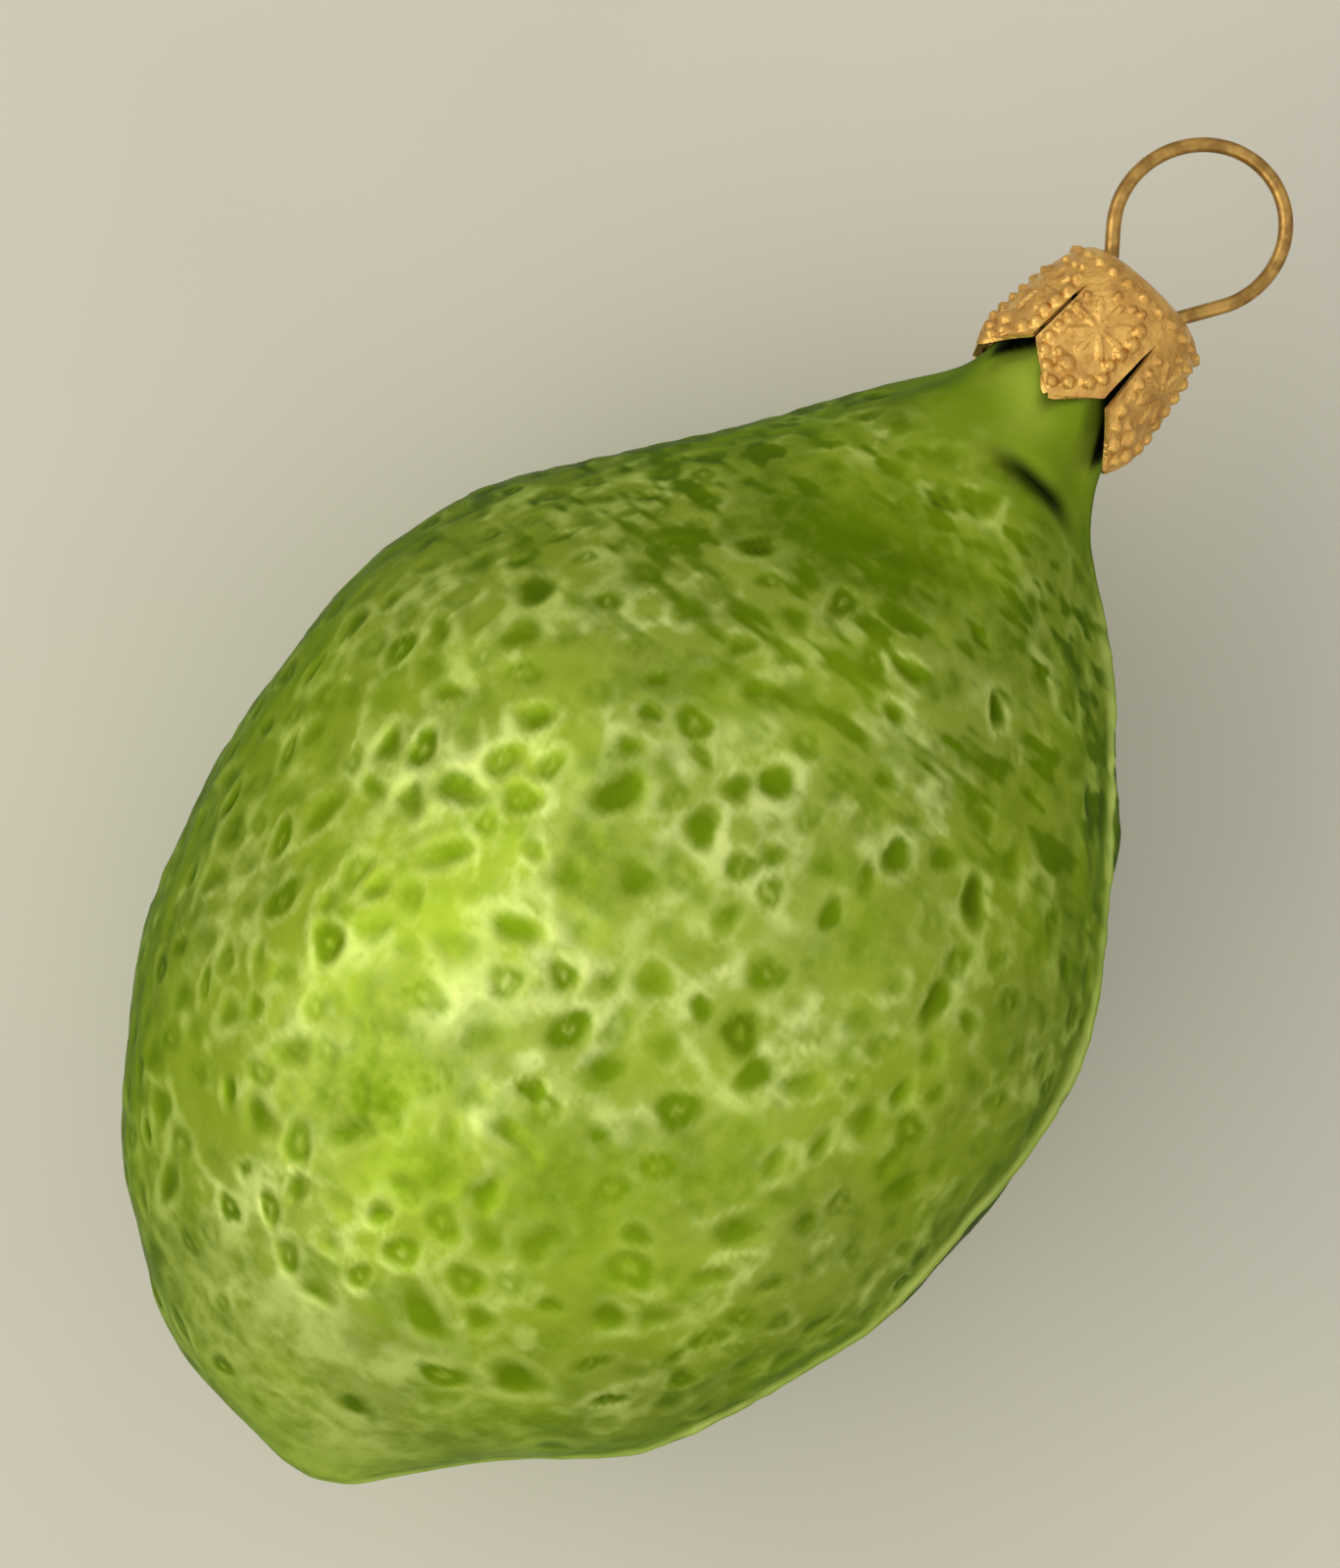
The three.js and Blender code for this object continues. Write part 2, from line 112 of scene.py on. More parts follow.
# %% Centre line and outline
CENTRE_LINE = [
    # share of the length from the cap, and sideways place as a share of the bend
    (-0.008, -0.42),
    (0.105, -0.01),
    (0.2, 0.27),
    (0.36, 0.5),
    (0.54, 0.84),
    (0.7, 1.12),
    (0.82, 1.09),
    (0.915, 0.88),
    (1.0, 0.33),
]
OUTLINE = [
    # share of the length, and share of the body's radius
    (0.015, 0.163),
    (0.06, 0.165),
    (0.1, 0.18),
    (0.137, 0.225),
    (0.205, 0.4),
    (0.275, 0.601),
    (0.345, 0.773),
    (0.41, 0.905),
    (0.475, 0.984),
    (0.55, 0.998),
    (0.645, 0.972),
    (0.72, 0.922),
    (0.79, 0.827),
    (0.858, 0.69),
    (0.9, 0.554),
    (0.93, 0.434),
    (0.948, 0.349),
    (0.965, 0.259),
    (0.982, 0.156),
    (0.994, 0.081),
    (1.0, 0.0),
]


def smooth_curve(points, steps=40):
    """Points close together on a smooth curve that passes through every given point."""
    points = np.array(points, float)
    held = np.vstack([2 * points[0] - points[1], points, 2 * points[-1] - points[-2]])
    t = np.linspace(0, 1, steps, endpoint=False)[:, None]
    spans = []
    for a, b, c, d in zip(held, held[1:], held[2:], held[3:]):
        spans.append(
            b + (c - a) * t / 2 + (a - 2.5 * b + 2 * c - d / 2) * t**2
            + (1.5 * b - a / 2 - 1.5 * c + d / 2) * t**3
        )
    return np.vstack([*spans, points[-1:]])


def lengths_along(path):
    """How far along the path each of its points is."""
    steps = np.linalg.norm(np.diff(path, axis=0), axis=1)
    return np.concatenate([[0], np.cumsum(steps)])


def resampled(path, count):
    """The same path with its points evenly spaced."""
    travelled = lengths_along(path)
    wanted = np.linspace(0, travelled[-1], count)
    return np.stack([np.interp(wanted, travelled, column) for column in path.T], -1)


centre_path = smooth_curve([(-FRUIT_LENGTH * along, BEND * side) for along, side in CENTRE_LINE])
centre_share = lengths_along(centre_path) / lengths_along(centre_path)[-1]
centre_ahead = np.gradient(centre_path, axis=0)
centre_ahead /= np.linalg.norm(centre_ahead, axis=1)[:, None]
outline = smooth_curve([(FRUIT_LENGTH * along, BODY_RADIUS * radius) for along, radius in OUTLINE])
outline[:, 1] = np.maximum(outline[:, 1], 0)
print("centre line", round(lengths_along(centre_path)[-1], 1), "mm long")

# %% [markdown]
# ## From outline to skin
# Every point of the skin has a distance along the centre line and an angle round it. Keeping those
# two numbers for each point makes the rest easy: ribs go round, the mould's seam runs along, and
# pits find their neighbours. A remeshed blob would have no such directions.

# %% Place a point round the centre line
FULLEST = 0.55


def smoothstep(value, low, high):
    """0 below low, 1 above high, and a soft change between."""
    t = np.clip((value - low) / (high - low), 0, 1)
    return t * t * (3 - 2 * t)


def zone(value, rise_from, rise_to, fall_from, fall_to):
    """1 in the middle of a range, and 0 on both sides of it, with soft edges."""
    return smoothstep(value, rise_from, rise_to) * (1 - smoothstep(value, fall_from, fall_to))


def round_centre(distance, radius, angle):
    """Points at a distance along the centre line, square to it, at an angle from +Y towards +Z."""
    distance, radius, angle = np.broadcast_arrays(distance, radius, angle)
    share = np.clip(distance / FRUIT_LENGTH, 0, 1)
    centre_x, centre_y = (np.interp(share, centre_share, column) for column in centre_path.T)
    ahead_x, ahead_y = (np.interp(share, centre_share, column) for column in centre_ahead.T)
    sideways = radius * np.cos(angle)
    upwards = radius * DEPTH_SHARE * np.sin(angle)
    return np.stack([centre_x + ahead_y * sideways, centre_y - ahead_x * sideways, upwards], -1)


def angle_between(a, b):
    """The short way round from one angle to another."""
    gap = np.abs(a - b) % TURN
    return np.minimum(gap, TURN - gap)


middle = round_centre(np.array([FULLEST * FRUIT_LENGTH]), BODY_RADIUS, np.array([math.pi / 2]))
print("the fullest part's top is at height", round(float(moved(middle, rest_place)[0, 2]), 1), "mm")

# %% [markdown]
# ## Broad relief
# Blown glass is never a perfect turned shape. It has soft swellings, ribs where the neck was drawn
# in, one short deep fold beside the neck, and a faint ridge where the halves of the mould met. Each
# is one small formula that adds to the radius, which is easier to tune than sculpting.

# %% Swellings, ribs, fold and seam
SWELLINGS = [
    # share of the length, angle in degrees from +Y, height and reach in mm
    (0.37, 6, 0.42, 5.5),
    (0.27, 0, -0.48, 5.0),
    (0.175, 0, 0.25, 4.0),
    (0.172, 184, -0.45, 3.5),
    (0.225, 176, 0.76, 4.0),
    (0.31, 182, 0.55, 4.0),
    (0.385, 182, -0.55, 5.0),
    (0.4, 215, 0.3, 7.0),
    (0.5, 120, 0.3, 8.0),
    (0.66, 60, 0.25, 7.0),
    (0.62, 250, 0.25, 8.0),
    (0.9, 186, 0.5, 6.0),
    (0.945, 2, 0.33, 4.0),
]
# a zone is given by the shares of the length where it fades in and where it fades out
RIPPLE_ZONE = (0.25, 0.4, 0.85, 0.97)
RIPPLE_HEIGHT = 0.16
RIB_ZONE = (0.1, 0.15, 0.19, 0.3)
RIB_HEIGHT = 0.22
RIB_COUNT = 6
FOLD_PLACE = 0.16
FOLD_ANGLE = math.radians(120)
FOLD_SPAN = math.radians(27)
FOLD_WIDTH = 0.62
FOLD_DEPTH = 0.6
SEAM_HEIGHT = 0.3
SEAM_WIDTH = 0.6
SEAM_ANGLE = math.radians(-10)
SEAM_START = (0.12, 0.2)


def in_fold(distance, angle):
    """1 in the middle of the short fold beside the neck, and 0 away from it."""
    along = np.exp(-(((distance - FOLD_PLACE * FRUIT_LENGTH) / FOLD_WIDTH) ** 2))
    return along * np.exp(-((angle_between(angle, FOLD_ANGLE) / FOLD_SPAN) ** 4))


def broad_relief(distance, radius, angle):
    """The height of the broad relief over the turned shape, in mm."""
    share = distance / FRUIT_LENGTH
    height = np.zeros(np.broadcast(distance, angle).shape)
    for along, degrees, rise, reach in SWELLINGS:
        gap_along = distance - along * FRUIT_LENGTH
        gap_round = angle_between(angle, math.radians(degrees)) * np.maximum(radius, 1)
        height += rise * np.exp(-2 * (gap_along**2 + gap_round**2) / reach**2)
    ripple = np.sin(3 * angle + 9 * share) * np.sin(TURN * 2.4 * share + angle)
    height += RIPPLE_HEIGHT * ripple * zone(share, *RIPPLE_ZONE)
    height += RIB_HEIGHT * zone(share, *RIB_ZONE) * np.cos(RIB_COUNT * angle + 0.6)
    height -= FOLD_DEPTH * in_fold(distance, angle)
    seam_gap = np.minimum(angle_between(angle, SEAM_ANGLE), angle_between(angle, SEAM_ANGLE + math.pi))
    ridge = np.exp(-((seam_gap * radius / SEAM_WIDTH) ** 2))
    height += SEAM_HEIGHT * ridge * smoothstep(share, *SEAM_START)
    return height


# %% [markdown]
# ## The grid of the skin
# The skin is one grid of rows along and columns round, close enough together for pits under two
# millimetres wide, and still light enough to turn in the viewport. The columns crowd together on the
# upper side, which is the one that is seen. Subdividing the plain solid would put the same detail
# on the smooth neck and underneath, where it is wasted.

# %% Rows and columns
COLUMNS = 336
ROWS = 266
CROWDING = 0.35
row_places = resampled(outline, ROWS + 1)[:-1]
row_distance = row_places[:, 0]
row_radius = row_places[:, 1]
even_angle = np.arange(COLUMNS) * TURN / COLUMNS
column_angle = even_angle - CROWDING * np.sin(even_angle - TURN / 4) - CROWDING
grid_distance = np.repeat(row_distance[:, None], COLUMNS, 1)
grid_radius = np.repeat(row_radius[:, None], COLUMNS, 1)
grid_angle = np.repeat(column_angle[None, :], ROWS, 0)
grid_share = grid_distance / FRUIT_LENGTH
relief = broad_relief(grid_distance, grid_radius, grid_angle)
smooth_skin = moved(round_centre(grid_distance, grid_radius + relief, grid_angle), rest_place)
print("grid:", ROWS, "rows of", COLUMNS, "points,", round(math.dist(*row_places[100:102]), 2), "mm apart")

# %% [markdown]
# ## The camera
# The lime is looked at from straight above, and the picture is turned so that the blossom end
# points to the lower left. A long lens, about 23 cm above the fruit, keeps the outline close to the
# true one. The camera is made early, because the marked pits are placed by where they are seen.

# %% Camera above the table
PICTURE_WIDTH = 1367
PICTURE_HEIGHT = 1600
MM_PER_PIXEL = 0.052
MIDDLE_HEIGHT = 22.7
CAMERA_RISE = 230.0
SENSOR = 36.0
NEAREST_SEEN = 10
LOOK_AT = (6.6, 2.8)
PICTURE_TURN = math.radians(-56.48)

camera_data = bpy.data.cameras.new("table_camera")
camera_data.sensor_width = SENSOR
camera_data.lens = SENSOR * CAMERA_RISE / (PICTURE_HEIGHT * MM_PER_PIXEL)
camera_data.clip_start = NEAREST_SEEN * MM
camera = bpy.data.objects.new("table_camera", camera_data)
camera.location = Vector((*LOOK_AT, MIDDLE_HEIGHT + CAMERA_RISE)) * MM
camera.rotation_euler = (0, 0, PICTURE_TURN)
bpy.context.scene.collection.objects.link(camera)
bpy.context.scene.camera = camera


def seen_at(pixel_x, pixel_y):
    """The direction, in the model's axes, that the camera looks in at a pixel of the picture."""
    right = (pixel_x - PICTURE_WIDTH / 2) * MM_PER_PIXEL
    up = (PICTURE_HEIGHT / 2 - pixel_y) * MM_PER_PIXEL
    return Matrix.Rotation(PICTURE_TURN, 3, "Z") @ Vector((right, up, -CAMERA_RISE))


print("lens", round(camera_data.lens, 1), "mm at", round(camera.location.z, 3), "m above the table")

# %% [markdown]
# ## Pits that stand out
# Most pits can fall anywhere, but a few are so plain to see that the lime wouldn't be the same one
# without them: a slit under the neck, little rings with a bright middle, a twin pit near the
# belly. They are listed by the pixel where they show, and a ray from the camera finds the place on
# the skin.

# %% Marked pits
PLAIN, RING, SLIT = 0, 1, 2
MARKED_PITS = [
    # pixel x, pixel y, length and width in mm, turn in degrees in the picture, depth in mm, kind
    (770, 556, 2.4, 1.1, 20, 0.4, SLIT),
    (961, 512, 1.9, 1.0, -20, 0.34, SLIT),
    (658, 505, 1.3, 0.8, -15, 0.2, PLAIN),
    (688, 556, 1.9, 1.2, -15, 0.24, RING),
    (571, 545, 1.5, 0.8, 15, 0.2, PLAIN),
    (639, 522, 1.4, 0.7, 10, 0.14, PLAIN),
    (527, 571, 1.8, 0.9, 30, 0.18, PLAIN),
    (595, 568, 1.3, 1.0, 0, 0.14, RING),
    (544, 600, 2.1, 1.8, 0, 0.34, PLAIN),
    (786, 592, 1.5, 1.1, -15, 0.2, RING),
    (859, 615, 1.6, 1.4, 60, 0.32, RING),
    (890, 627, 1.3, 1.0, 0, 0.12, RING),
    (928, 685, 1.9, 1.1, -40, 0.3, PLAIN),
    (1002, 654, 1.7, 0.8, -50, 0.26, PLAIN),
    (1018, 727, 2.0, 0.9, 80, 0.34, PLAIN),
    (822, 757, 1.7, 1.3, 30, 0.18, RING),
    (769, 705, 1.5, 1.0, 0, 0.24, PLAIN),
    (732, 600, 1.8, 1.6, 70, 0.16, PLAIN),
    (671, 692, 2.0, 1.0, 10, 0.18, PLAIN),
    (662, 726, 1.2, 1.1, 0, 0.22, PLAIN),
    (642, 762, 1.6, 1.4, 30, 0.22, PLAIN),
    (708, 737, 1.6, 1.5, 0, 0.28, RING),
    (715, 770, 1.5, 0.9, -70, 0.2, PLAIN),
    (533, 685, 2.1, 1.4, -5, 0.16, RING),
    (456, 704, 1.9, 1.1, -25, 0.2, PLAIN),
    (543, 731, 1.7, 1.6, 0, 0.26, PLAIN),
    (512, 774, 1.8, 1.5, 20, 0.2, RING),
    (560, 781, 1.5, 1.3, 30, 0.2, RING),
    (603, 767, 1.7, 1.4, 0, 0.08, PLAIN),
    (468, 804, 3.0, 1.6, -8, 0.22, PLAIN),
    (531, 815, 1.8, 1.4, 20, 0.22, RING),
    (633, 808, 2.3, 2.0, 30, 0.32, PLAIN),
    (688, 814, 1.6, 1.3, 30, 0.16, RING),
    (752, 805, 1.5, 1.5, 30, 0.26, PLAIN),
    (792, 798, 1.8, 1.6, 60, 0.28, PLAIN),
    (848, 804, 1.4, 1.2, 0, 0.12, RING),
    (718, 845, 2.0, 1.6, -60, 0.28, PLAIN),
    (917, 876, 1.7, 1.6, 0, 0.3, PLAIN),
    (756, 885, 1.6, 1.4, 30, 0.22, RING),
    (789, 874, 1.4, 1.3, 0, 0.2, PLAIN),
    (785, 911, 1.3, 1.2, 0, 0.18, RING),
    (742, 936, 1.5, 1.3, 30, 0.2, PLAIN),
    (848, 934, 1.8, 1.1, 85, 0.28, PLAIN),
    (995, 922, 2.2, 1.6, 60, 0.42, PLAIN),
    (957, 1024, 2.1, 1.5, 60, 0.32, PLAIN),
    (825, 985, 1.2, 1.0, 0, 0.1, PLAIN),
    (725, 976, 1.5, 1.2, 0, 0.1, RING),
    (682, 950, 1.7, 1.5, 40, 0.12, PLAIN),
    (651, 896, 2.3, 1.9, -60, 0.24, PLAIN),
    (595, 950, 1.9, 1.6, -20, 0.1, PLAIN),
    (453, 871, 2.8, 1.5, 5, 0.2, PLAIN),
    (415, 912, 1.6, 1.5, 0, 0.18, PLAIN),
    (384, 903, 1.5, 1.3, 30, 0.16, PLAIN),
    (361, 888, 1.7, 1.4, 20, 0.14, RING),
    (429, 763, 1.7, 1.4, 60, 0.26, RING),
    (497, 904, 2.2, 1.3, 10, 0.08, PLAIN),
    (467, 963, 2.6, 2.1, -30, 0.1, PLAIN),
    (334, 961, 1.8, 1.6, 0, 0.34, RING),
    (516, 1000, 2.0, 1.5, -15, 0.18, RING),
    (317, 683, 1.7, 0.9, 35, 0.2, PLAIN),
    (292, 766, 1.7, 1.0, 70, 0.2, RING),
    (328, 824, 2.5, 1.8, 20, 0.2, PLAIN),
    (235, 816, 1.6, 1.0, 60, 0.26, PLAIN),
    (285, 854, 1.8, 1.3, 70, 0.26, RING),
    (286, 916, 2.1, 1.5, 20, 0.26, RING),
    (262, 972, 1.8, 1.0, 80, 0.14, PLAIN),
    (228, 976, 1.8, 1.0, 65, 0.18, RING),
    (208, 1004, 1.4, 0.8, 80, 0.2, RING),
    (260, 1026, 1.4, 0.9, 80, 0.18, PLAIN),
    (320, 1026, 1.4, 1.2, 20, 0.14, RING),
    (370, 1064, 2.0, 1.5, -70, 0.12, RING),
    (232, 1112, 1.6, 1.0, -80, 0.22, PLAIN),
    (303, 1165, 2.0, 1.6, 60, 0.2, RING),
    (357, 1156, 2.3, 1.4, 10, 0.2, PLAIN),
    (233, 1232, 1.6, 1.1, -70, 0.24, RING),
    (275, 1233, 1.7, 1.0, -70, 0.22, RING),
    (415, 1216, 1.8, 1.2, -40, 0.16, RING),
    (495, 1221, 2.3, 1.4, 80, 0.22, PLAIN),
    (459, 1158, 1.9, 1.0, 80, 0.14, PLAIN),
    (524, 1160, 2.8, 1.2, -50, 0.2, PLAIN),
    (580, 1051, 2.2, 1.7, 20, 0.26, RING),
    (756, 1055, 2.0, 1.8, 60, 0.36, RING),
    (769, 1098, 1.8, 1.6, 50, 0.32, PLAIN),
    (834, 1055, 1.5, 1.3, 0, 0.1, RING),
    (717, 1030, 1.5, 1.2, 70, 0.24, PLAIN),
    (541, 1112, 1.2, 1.1, 0, 0.32, RING),
    (555, 1131, 1.8, 1.4, -30, 0.18, RING),
    (620, 1094, 2.0, 1.4, 40, 0.22, PLAIN),
    (690, 1134, 2.3, 1.7, 20, 0.28, RING),
    (672, 1191, 1.7, 1.5, 0, 0.26, RING),
    (612, 1160, 2.4, 1.3, -45, 0.16, PLAIN),
    (627, 1215, 1.8, 1.6, 60, 0.22, RING),
    (789, 1190, 1.5, 1.1, 60, 0.2, PLAIN),
    (838, 1170, 1.7, 1.1, 55, 0.2, PLAIN),
    (909, 1191, 1.9, 1.3, 50, 0.2, PLAIN),
    (921, 1118, 1.6, 1.3, 60, 0.2, PLAIN),
    (951, 1078, 1.4, 1.1, 60, 0.18, PLAIN),
    (916, 1006, 1.4, 1.1, 60, 0.12, PLAIN),
    (707, 1238, 1.7, 0.9, 10, 0.12, RING),
    (753, 1261, 2.4, 1.7, 10, 0.22, PLAIN),
    (651, 1263, 1.6, 1.2, -10, 0.22, PLAIN),
    (601, 1266, 0.9, 0.8, 0, 0.12, PLAIN),
    (548, 1273, 2.3, 1.9, 40, 0.2, PLAIN),
    (410, 1279, 1.7, 1.5, 0, 0.24, RING),
    (293, 1281, 1.7, 1.2, -70, 0.22, RING),
    (321, 1318, 1.9, 1.4, 0, 0.16, PLAIN),
    (475, 1308, 1.8, 1.6, 80, 0.24, RING),
    (520, 1312, 1.7, 1.5, 30, 0.12, RING),
    (562, 1333, 1.4, 1.0, 0, 0.22, PLAIN),
    (623, 1346, 1.8, 1.6, 60, 0.24, PLAIN),
    (728, 1304, 2.0, 1.1, 10, 0.16, PLAIN),
    (725, 1329, 1.4, 1.2, 0, 0.08, RING),
    (789, 1312, 1.8, 1.3, 20, 0.16, PLAIN),
    (824, 1248, 1.7, 1.3, 40, 0.18, PLAIN),
    (860, 1230, 1.7, 1.3, 50, 0.18, RING),
    (432, 1342, 3.4, 1.9, -70, 0.26, PLAIN),
    (452, 1405, 2.1, 1.6, -20, 0.26, RING),
    (527, 1410, 3.1, 1.9, -25, 0.28, PLAIN),
    (566, 1370, 1.5, 1.3, 0, 0.1, RING),
    (605, 1393, 1.9, 1.1, 10, 0.2, RING),
    (623, 1430, 1.7, 1.0, 10, 0.22, RING),
    (690, 1385, 1.2, 0.8, 60, 0.2, PLAIN),
    (697, 1408, 1.4, 1.3, 60, 0.24, RING),
    (725, 1367, 2.0, 1.1, 15, 0.22, RING),
    (796, 1350, 1.5, 1.1, 60, 0.18, RING),
    (835, 1353, 1.7, 1.0, 20, 0.2, PLAIN),
]


def skin_faces(rows, columns):
    """The corner numbers of a grid that closes on itself sideways."""
    row, column = np.meshgrid(np.arange(rows - 1), np.arange(columns), indexing="ij")
    after = (column + 1) % columns
    corners = [row * columns + column, row * columns + after, (row + 1) * columns + after]
    corners.append((row + 1) * columns + column)
    return np.stack([c.ravel() for c in corners], -1)


outer_faces = skin_faces(ROWS, COLUMNS)
skin_tree = BVHTree.FromPolygons(smooth_skin.reshape(-1, 3).tolist(), outer_faces.tolist())
eye = Vector((*LOOK_AT, MIDDLE_HEIGHT + CAMERA_RISE))


def spot_on_skin(pixel_x, pixel_y):
    """Where the camera's line of sight through a pixel meets the skin, or None beside it."""
    return skin_tree.ray_cast(eye, seen_at(pixel_x, pixel_y).normalized())[0]


def picture_way(degrees):
    """The level direction in the model that has the given slope in the picture."""
    turn = PICTURE_TURN + math.radians(degrees)
    return math.cos(turn), math.sin(turn), 0


pits = []
for pixel_x, pixel_y, length, width, degrees, depth, kind in MARKED_PITS:
    place = spot_on_skin(pixel_x, pixel_y)
    if place is not None:
        pits.append((place, Vector(picture_way(degrees)), length / 2, width / 2, depth, kind))
print(len(pits), "marked pits found their place on the skin")

# %% [markdown]
# ## Pits that fall by chance
# The rest of the skin is filled by throwing darts: a random spot is kept only if no earlier pit is
# too near. That gives the even but unruly spread of real peel. A regular lattice would look knitted,
# and fully random spots would clump. The neck, the tip, a patch near the blossom end and the rest
# spot stay smooth.

# %% Scatter the other pits
PIT_START = 0.17
PIT_END = 0.95
THINNING = 0.12
BARE_PATCH = (0.84, 0.88)
BARE_PATCH_ANGLE = 2.0
REST_REACH = 8
REST_RISE = 3
CLOSEST = 2.0
HALF_WIDTH = 0.5
HALF_WIDTH_SPREAD = 0.4
SHALLOWEST = 0.09
DEPTH_SPREAD = 0.15
RING_SHARE = 0.35
TRIES = 14000
area_share = np.cumsum(row_radius * (row_distance > PIT_START * FRUIT_LENGTH))
area_share /= area_share[-1]
flat_normals = np.cross(
    np.roll(smooth_skin, -1, 1) - np.roll(smooth_skin, 1, 1), np.gradient(smooth_skin, axis=0)
)
flat_normals /= np.linalg.norm(flat_normals, axis=2)[:, :, None]


def pit_room(share, angle):
    """The clear space that a pit wants round it: more towards the smooth ends of the fruit."""
    towards_neck = 1 - smoothstep(share, PIT_START, PIT_START + THINNING)
    towards_blossom = smoothstep(share, PIT_END - THINNING, PIT_END)
    beside_patch = smoothstep(angle_between(angle, BARE_PATCH_ANGLE), 0.5, 0.9)
    bare_patch = smoothstep(share, *BARE_PATCH) * (1 - beside_patch)
    return CLOSEST * (1 + 0.25 * towards_neck + 0.7 * towards_blossom + 4 * bare_patch)


kept_places = [np.array(place) for place, *_ in pits]
kept_rooms = [0.8 * (half_length + half_width) + 0.9 for _, _, half_length, half_width, _, _ in pits]
thrown_row = np.searchsorted(area_share, dice.random(TRIES))
thrown_column = dice.integers(0, COLUMNS, TRIES)
for row, column, luck in zip(thrown_row, thrown_column, dice.random((TRIES, 6))):
    place = smooth_skin[row, column]
    share = row_distance[row] / FRUIT_LENGTH
    room = pit_room(share, column_angle[column]) * (0.85 + 0.4 * luck[0])
    on_rest_spot = math.hypot(place[0], place[1]) < REST_REACH and place[2] < REST_RISE
    if share > PIT_END or on_rest_spot:
        continue
    gaps = np.linalg.norm(np.array(kept_places) - place, axis=1)
    if (gaps < (np.array(kept_rooms) + room) / 2).any():
        continue
    turn = TURN * luck[1]
    pointing = Vector(np.cross(flat_normals[row, column], (math.cos(turn), math.sin(turn), 0.3)))
    half_width = HALF_WIDTH + HALF_WIDTH_SPREAD * luck[2]
    half_length = half_width * (1 + 0.7 * luck[3] ** 2)
    depth = SHALLOWEST + DEPTH_SPREAD * luck[4] ** 2
    kind = RING if luck[5] < RING_SHARE else PLAIN
    pits.append((Vector(place), pointing, half_length, half_width, depth, kind))
    kept_places.append(place)
    kept_rooms.append(room)
print(len(pits), "pits in all")

# %% [markdown]
# ## Soft random numbers
# Nothing on blown glass is quite regular, so most of the formulas below are bent a little by noise.
# It is read at the points of the smooth skin, in millimetres, so that it has one size all over and
# comes out the same on every run. Noise in a material alone could colour the skin, but not shape it.

# %% Noise over the skin
RAGGED_SIZE = 1.5


def wavering(points, size, seed):
    """Soft random numbers between about -1 and 1, that change over the given size in mm."""
    shift = Vector((seed, -seed, 0.5 * seed))
    flat = points.reshape(-1, 3) / size
    return np.array([noise.noise(Vector(p) + shift) for p in flat]).reshape(points.shape[:-1])


def crooked(points, size, finer_size, broad_seed, finer_seed):
    """The same in two layers, the finer one half as strong."""
    return wavering(points, size, broad_seed) + 0.5 * wavering(points, finer_size, finer_seed)


ragged = wavering(smooth_skin, RAGGED_SIZE, 11.7)
print("ragged edges waver by", round(float(np.abs(ragged).max()), 2), "at most")

# %% [markdown]
# ## The shape of a pit
# Each pit is a soft oval dish. A ring has a small hump left standing in its middle, and a slit has
# one steep wall. Lacquer gathers in the dish and colours it more strongly, though not on the hump.
# The walls of a slit and the bottom of a very deep pit are in shadow. One formula for each kind is
# enough, and a displacement picture for each would only be slower.

# %% Formulas for one pit
EDGE_PLACE = 0.86
STEEPNESS = 1.9
HUMP_SIZE = 0.45
HUMP_HEIGHT = 0.7
HUMP_CLEAR = 0.85
SLIT_WALL = 0.6
SLIT_WALL_WIDTH = 0.28
SLIT_SHADOW = 0.75
DEEP = (0.27, 0.4)
DEEP_SHADOW = 0.42


def pit_shape(kind, out, across):
    """How far the skin is pressed in and how much lacquer gathers, both from 0 to 1."""
    dish = 0.5 - 0.5 * np.tanh((out - EDGE_PLACE) * STEEPNESS)
    if kind == RING:
        hump = np.exp(-((out / HUMP_SIZE) ** 2))
        return dish * (1 - HUMP_HEIGHT * hump), np.minimum(1.3 * dish * (1 - HUMP_CLEAR * hump), 1)
    if kind == SLIT:
        return dish * (0.55 + 0.45 * np.tanh(2.2 * across)), dish
    return dish, dish


def pit_shadow(kind, gathered, across, depth):
    """How dark the walls of a slit and the bottom of a deep pit are, from 0 to 1."""
    shadow = DEEP_SHADOW * smoothstep(depth, *DEEP) * np.minimum(1.6 * gathered**2, 1)
    if kind == SLIT:
        walls = np.exp(-(((np.abs(across) - SLIT_WALL) / SLIT_WALL_WIDTH) ** 2)) * gathered
        shadow = np.maximum(shadow, SLIT_SHADOW * walls)
    return shadow


for kind, name in ((PLAIN, "plain pit"), (RING, "ring"), (SLIT, "slit")):
    middle_depth = pit_shape(kind, np.zeros(1), np.zeros(1))[0].item()
    print("the middle of a", name, "has", round(middle_depth, 2), "of the full depth")

# %% [markdown]
# ## Press the pits into the skin
# Only the few grid points round a pit are touched, so hundreds of pits take about a second. Five
# layers of numbers come out, one number for each point: how far it sank, how much lacquer pooled
# there, the low lip, the wider halo where the lacquer drew back, and the shadow. Carving every pit
# with a Boolean would take minutes, and would leave hard edges.

# %% Sink the pits
PIT_REACH = 2.6
ROW_STEP = 0.3
SINKING = 0.8
RAGGED_EDGE = 0.22
LIP_PLACE = 1.35
LIP_WIDTH = 0.3
HALO_PLACE = 1.5
HALO_WIDTH = 0.45


def window_round(row, column, reach):
    """The part of the grid that lies within a reach, in mm, of one of its points."""
    rows_off = int(reach / ROW_STEP) + 2
    narrowest = row_radius[row] * TURN / COLUMNS * (1 - CROWDING)
    columns_off = min(int(reach / narrowest) + 2, COLUMNS // 2 - 1)
    row_list = np.arange(max(row - rows_off, 0), min(row + rows_off + 1, ROWS))
    column_list = np.arange(column - columns_off, column + columns_off + 1) % COLUMNS
    return np.ix_(row_list, column_list)


def lay_on(layer, window, values):
    """Keeps the larger of what the layer holds already and what the pit brings."""
    layer[window] = np.maximum(layer[window], values)


